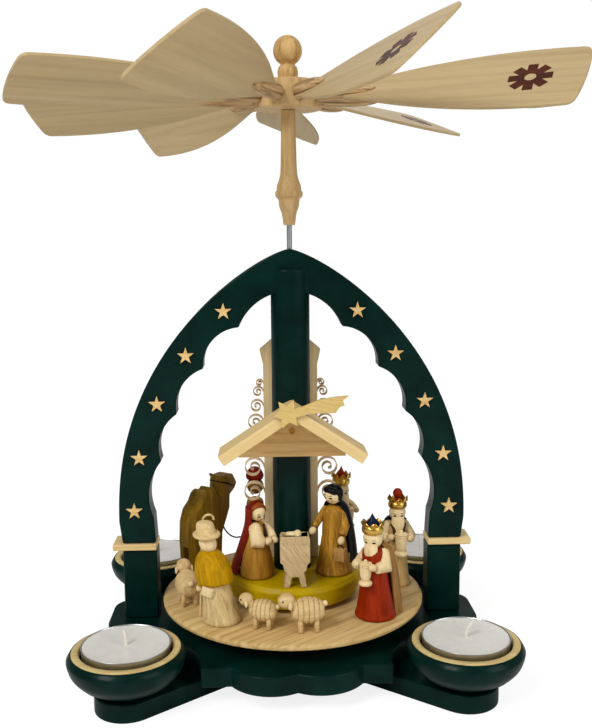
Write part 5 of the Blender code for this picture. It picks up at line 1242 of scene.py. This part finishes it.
def shepherd():
    spot = (-32.3, -33.9)
    him = Figure("shepherd", "rotor", OCHRE_STAIN, stood(spot, walking(spot) + 20, ON_PLATE), lean=0.18)
    him.robe(SKIRT, SKIRT_LINE)
    cape = flowing(sized(CAPE, 1, 1), 6) + list(CAPE_HEM)
    him.add("cape", fresh(turned, sized(cape, him.base, him.chin), 96), OCHRE, place=him.leaning)
    him.head((0.2, 0, (him.chin + him.brow) / 2), him.radius + 0.2, tilt=8)
    line = sized(flowing(HAT, 4)[:-1] + flowing(BRIM, 4), him.hat, him.top - him.brow, him.brow)
    him.add("hat", fresh(turned, [*line, (0, him.brow)], 80), FELT, 40, him.leaning)
    him.arms(OCHRE, SHEPHERD_ARMS)
    out = Vector((-math.cos(math.radians(20)), -1, 0)).normalized()
    path = [CROOK_FOOT, CROOK_GRIP]
    for x, z in arc((0, 0), CROOK_BEND, 180, 0, 16):
        path.append(Vector(CROOK_HIGH) + out * (CROOK_BEND + x) + Vector((0, 0, z)))
    him.add("crook", fresh(swept, path, [0.5] * len(path), 12), FELT)
    work = softened(fresh(box, (5.2, 2.6, 4.2), (0, 0, 0)), 0.3, 2)
    him.add("satchel", work, LIME, 40, him.place @ moved((3.4, 6.6, 14.9)) @ about("Y", -14))


def driver():
    spot = (-18, 36)
    him = Figure("camel_driver", "rotor", OCHRE_STAIN, stood(spot, walking(spot), ON_PLATE))
    him.robe(CARVED)
    # Head and hands take the tawny brown that is painted shade, darker than the other figures' lime
    him.head((0.2, 0, (him.chin + him.brow) / 2 + 2.0), him.radius + 0.4, skin=SKIN_PAINTED_SHADE)
    him.arms(OLIVE_SLEEVE, DRIVER_ARMS, SKIN_PAINTED_SHADE)
    foot = him.brow + 2.4
    line = sized(flowing(TURBAN, 4), 0.92 * him.hat, him.top - foot, foot)
    him.add("turban", fresh(turned, [*line, (0, foot)], 48), MAROON)


# Sheep: each one's length and spot; all else is in shares of its length
SHEEP = {"sheep_1": (14.6, (-49, -14)), "sheep_2": (12.0, (-14, -42.6)), "sheep_3": (14.0, (5, -46.4))}
SHEEP_STEPS = 72
RIBS = 6


def sheep(name, length, spot):
    """A barrel body with six broad ribs, and a dark ring of painted shade in each crease between them."""
    radius, level = length * 0.4, length * 0.63
    line = []
    for i in range(SHEEP_STEPS + 1):
        run = 2 * i / SHEEP_STEPS - 1
        swell = math.sqrt(1 - (0.86 * run) ** 2)
        rib = 1 - 0.09 * abs(2 * (i * RIBS / SHEEP_STEPS % 1) - 1) ** 5
        line.append((radius * swell * rib, -run * length / 2))
    lying = moved((0, 0, level)) @ about("Y", 90)
    body = fresh(turned, [(0, length / 2), *line, (0, -length / 2)], 48)
    set_at(body, lying)
    egg(body, length * 0.25, (length * 0.66, 0, length * 0.97), (1.05, 0.95, 0.95), 28)
    throat, nape = (length * 0.36, 0, length * 0.74), (length * 0.64, 0, length * 0.94)
    rod_between(body, throat, nape, length * 0.16, length * 0.14)
    for side, _ in SIDES:
        for x in (length * 0.25, -length * 0.25):
            hip, hoof = (x, side * radius * 0.42, level - radius / 2), (x, side * radius * 0.5, 0)
            rod_between(body, hip, hoof, length * 0.085, length * 0.08, 16, 0.15)
    # Dark rings laid in the creases between the ribs: painted shade
    groove_shade = bmesh.new()
    for reach, along in line[SHEEP_STEPS // RIBS : -1 : SHEEP_STEPS // RIBS]:
        low, high, left, right = reach - 0.4, reach + 0.08, along - 0.16, along + 0.16
        turned(groove_shade, [(low, left), (high, left), (high, right), (low, right), (low, left)], 48)
    set_at(groove_shade, lying)
    ears = fresh(egg, length * 0.09, (-length * 0.54, 0, level + radius * 0.45), segments=16)
    eyes = bmesh.new()
    for side, _ in SIDES:
        egg(ears, length * 0.1, (length * 0.57, side * length * 0.25, length * 0.88), (0.6, 0.5, 1.3), 16)
        egg(eyes, 0.6, (length * 0.78, side * length * 0.19, length * 1.01), (0.8, 0.8, 0.8), 12)
    place = stood(spot, walking(spot), ON_PLATE)
    for word, work, mat, smooth in (
        ("body", body, SHEEP_WOOD, 60),
        ("groove_shade", groove_shade, UMBER_AND_CREASE_SHADE, 40),
        ("ears", ears, LIME, 60),
        ("eyes", eyes, BLACK, 60),
    ):
        piece(f"{name}_{word}", work, "rotor", mat, MAPLE, name, place=place, smooth=smooth)


# Camel: its outline in shares of its length and height
CAMEL_LENGTH, CAMEL_HEIGHT, CAMEL_HALF_WIDTH = 34.0, 46.7, 3.2
CAMEL = (
    *((-0.47, 0.0), (-0.31, 0.0), (-0.27, 0.36), (0.02, 0.36), (0.05, 0.0), (0.22, 0.0)),
    *((0.26, 0.38), (0.36, 0.50), (0.45, 0.62), (0.46, 0.755), (0.57, 0.80), (0.65, 0.88)),
    *((0.56, 0.98), (0.47, 1.0), (0.27, 1.0), (0.24, 0.83), (0.15, 0.82), (0.09, 0.90)),
    *((0.02, 0.92), (-0.06, 0.86), (-0.12, 0.915), (-0.20, 0.90), (-0.27, 0.82), (-0.40, 0.75)),
    *((-0.48, 0.62), (-0.50, 0.42)),
)
CAMEL_SPOT = (-43, 29)
# The halter's near side, from the cheek round the muzzle
HALTER = ((9.1, -3.2, 43.7), (10.9, -5.05, 43.0), (17.6, -5.05, 40.1), (19.3, -3.2, 39.3))


def camel():
    outline = sized(CAMEL, CAMEL_LENGTH, CAMEL_HEIGHT)
    work = fresh(slab, outline, -CAMEL_HALF_WIDTH, CAMEL_HALF_WIDTH)
    bmesh.ops.recalc_face_normals(work, faces=work.faces)
    sides = [f for f in work.faces if len(f.verts) > 8]
    bmesh.ops.inset_individual(work, faces=sides, thickness=1.7, depth=1.8, use_even_offset=True)
    between_legs = fresh(box, (70, 3.2, 20), (0, 0, 6))
    work = softened(cut(work, between_legs), 0.25, 1, 25)
    place = stood(CAMEL_SPOT, walking(CAMEL_SPOT), ON_PLATE)
    stands = ("olive_brown_stain", "camel")
    piece("carved_camel", work, "rotor", CARVED, *stands, place=place, smooth=15)
    loop = [*HALTER, *[(x, -y, z) for x, y, z in reversed(HALTER)], HALTER[0]]
    piece("halter", fresh(swept, loop, [0.45] * 9, 12), "rotor", BLACK, *stands, place=place, smooth=60)
    work = bmesh.new()
    for side, _ in SIDES:
        ear = Vector((0.33 * CAMEL_LENGTH, side * 4.4, 0.98 * CAMEL_HEIGHT))
        rod_between(work, ear, ear + Vector((-1.2, side * 0.6, 1.0)), 1.0, 0.4, 12, 0.15)
    piece("camel_ears", work, "rotor", CARVED, *stands, place=place, smooth=50)


# Floor, lamps and world, in metres
FLOOR_HALF = 1.3
# Lamps: place, target, size and power
LAMPS = {
    "key": ((-0.9, -1.1, 1.3), (0, 0, 0.12), 0.7, 20),
    "fill": ((1.2, -0.9, 0.8), (0, 0, 0.12), 0.9, 8),
    "back": ((0.3, 1.3, 1.2), (0, 0, 0.15), 1.0, 4.5),
}


def floor():
    """White paint that glows a little for the camera alone, so that only the shadow shows on it."""
    mesh = bpy.data.meshes.new("floor")
    work = fresh(bmesh.ops.create_grid, x_segments=1, y_segments=1, size=FLOOR_HALF)
    work.to_mesh(mesh)
    work.free()
    made = linked("floor", mesh)
    made.location.z = -0.0002
    white, tree, shader = blank("white_paint")
    feed(tree, shader, {"Base Color": colour("f4f4f4"), "Roughness": 0.9})
    rays = node(tree, "LightPath")
    glow = node(tree, "Emission", {"Color": (1, 1, 1, 1), "Strength": 1.2})
    seen = node(tree, "Math", {0: rays.outputs["Is Camera Ray"], 1: 0.7}, operation="MULTIPLY")
    both = node(tree, "MixShader", {0: seen.outputs[0], 1: shader.outputs[0], 2: glow.outputs[0]})
    feed(tree, tree.nodes["Material Output"], {"Surface": both.outputs[0]})
    mesh.materials.append(white)


def lights():
    for name, (place, target, size, power) in LAMPS.items():
        data = bpy.data.lights.new(name, "AREA")
        data.shape = "SQUARE"
        data.size = size
        data.energy = power
        way = Vector(target) - Vector(place)
        linked(name, data).matrix_world = moved(place) @ way.to_track_quat("-Z", "Y").to_matrix().to_4x4()

    bpy.context.scene.view_settings.view_transform = "Standard"
    world = bpy.data.worlds.new("studio")
    bpy.context.scene.world = world
    world.use_nodes = True
    tree = world.node_tree
    rays = node(tree, "LightPath")
    dim = node(tree, "MapRange", {"Value": rays.outputs["Is Glossy Ray"], "To Min": 0.4, "To Max": 0.2})
    level = node(tree, "Math", {0: rays.outputs["Is Camera Ray"], 1: dim.outputs[0]}, operation="MAXIMUM")
    feed(tree, tree.nodes["Background"], {"Color": (1, 1, 1, 1), "Strength": level.outputs[0]})


for build in (base, posts, arch, column, stage, backboard, house, comet, wheel, blades, plate, bowls):
    build()
mother()
father()
manger()
for name, looks in KINGS.items():
    king(name, **looks)
shepherd()
driver()
for name, (length, spot) in SHEEP.items():
    sheep(name, length, spot)
camel()
floor()
lights()

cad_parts["bearing_cup"].data.materials[0] = BRASS_PART
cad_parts["guide_bush"].data.materials[0] = BRASS_PART
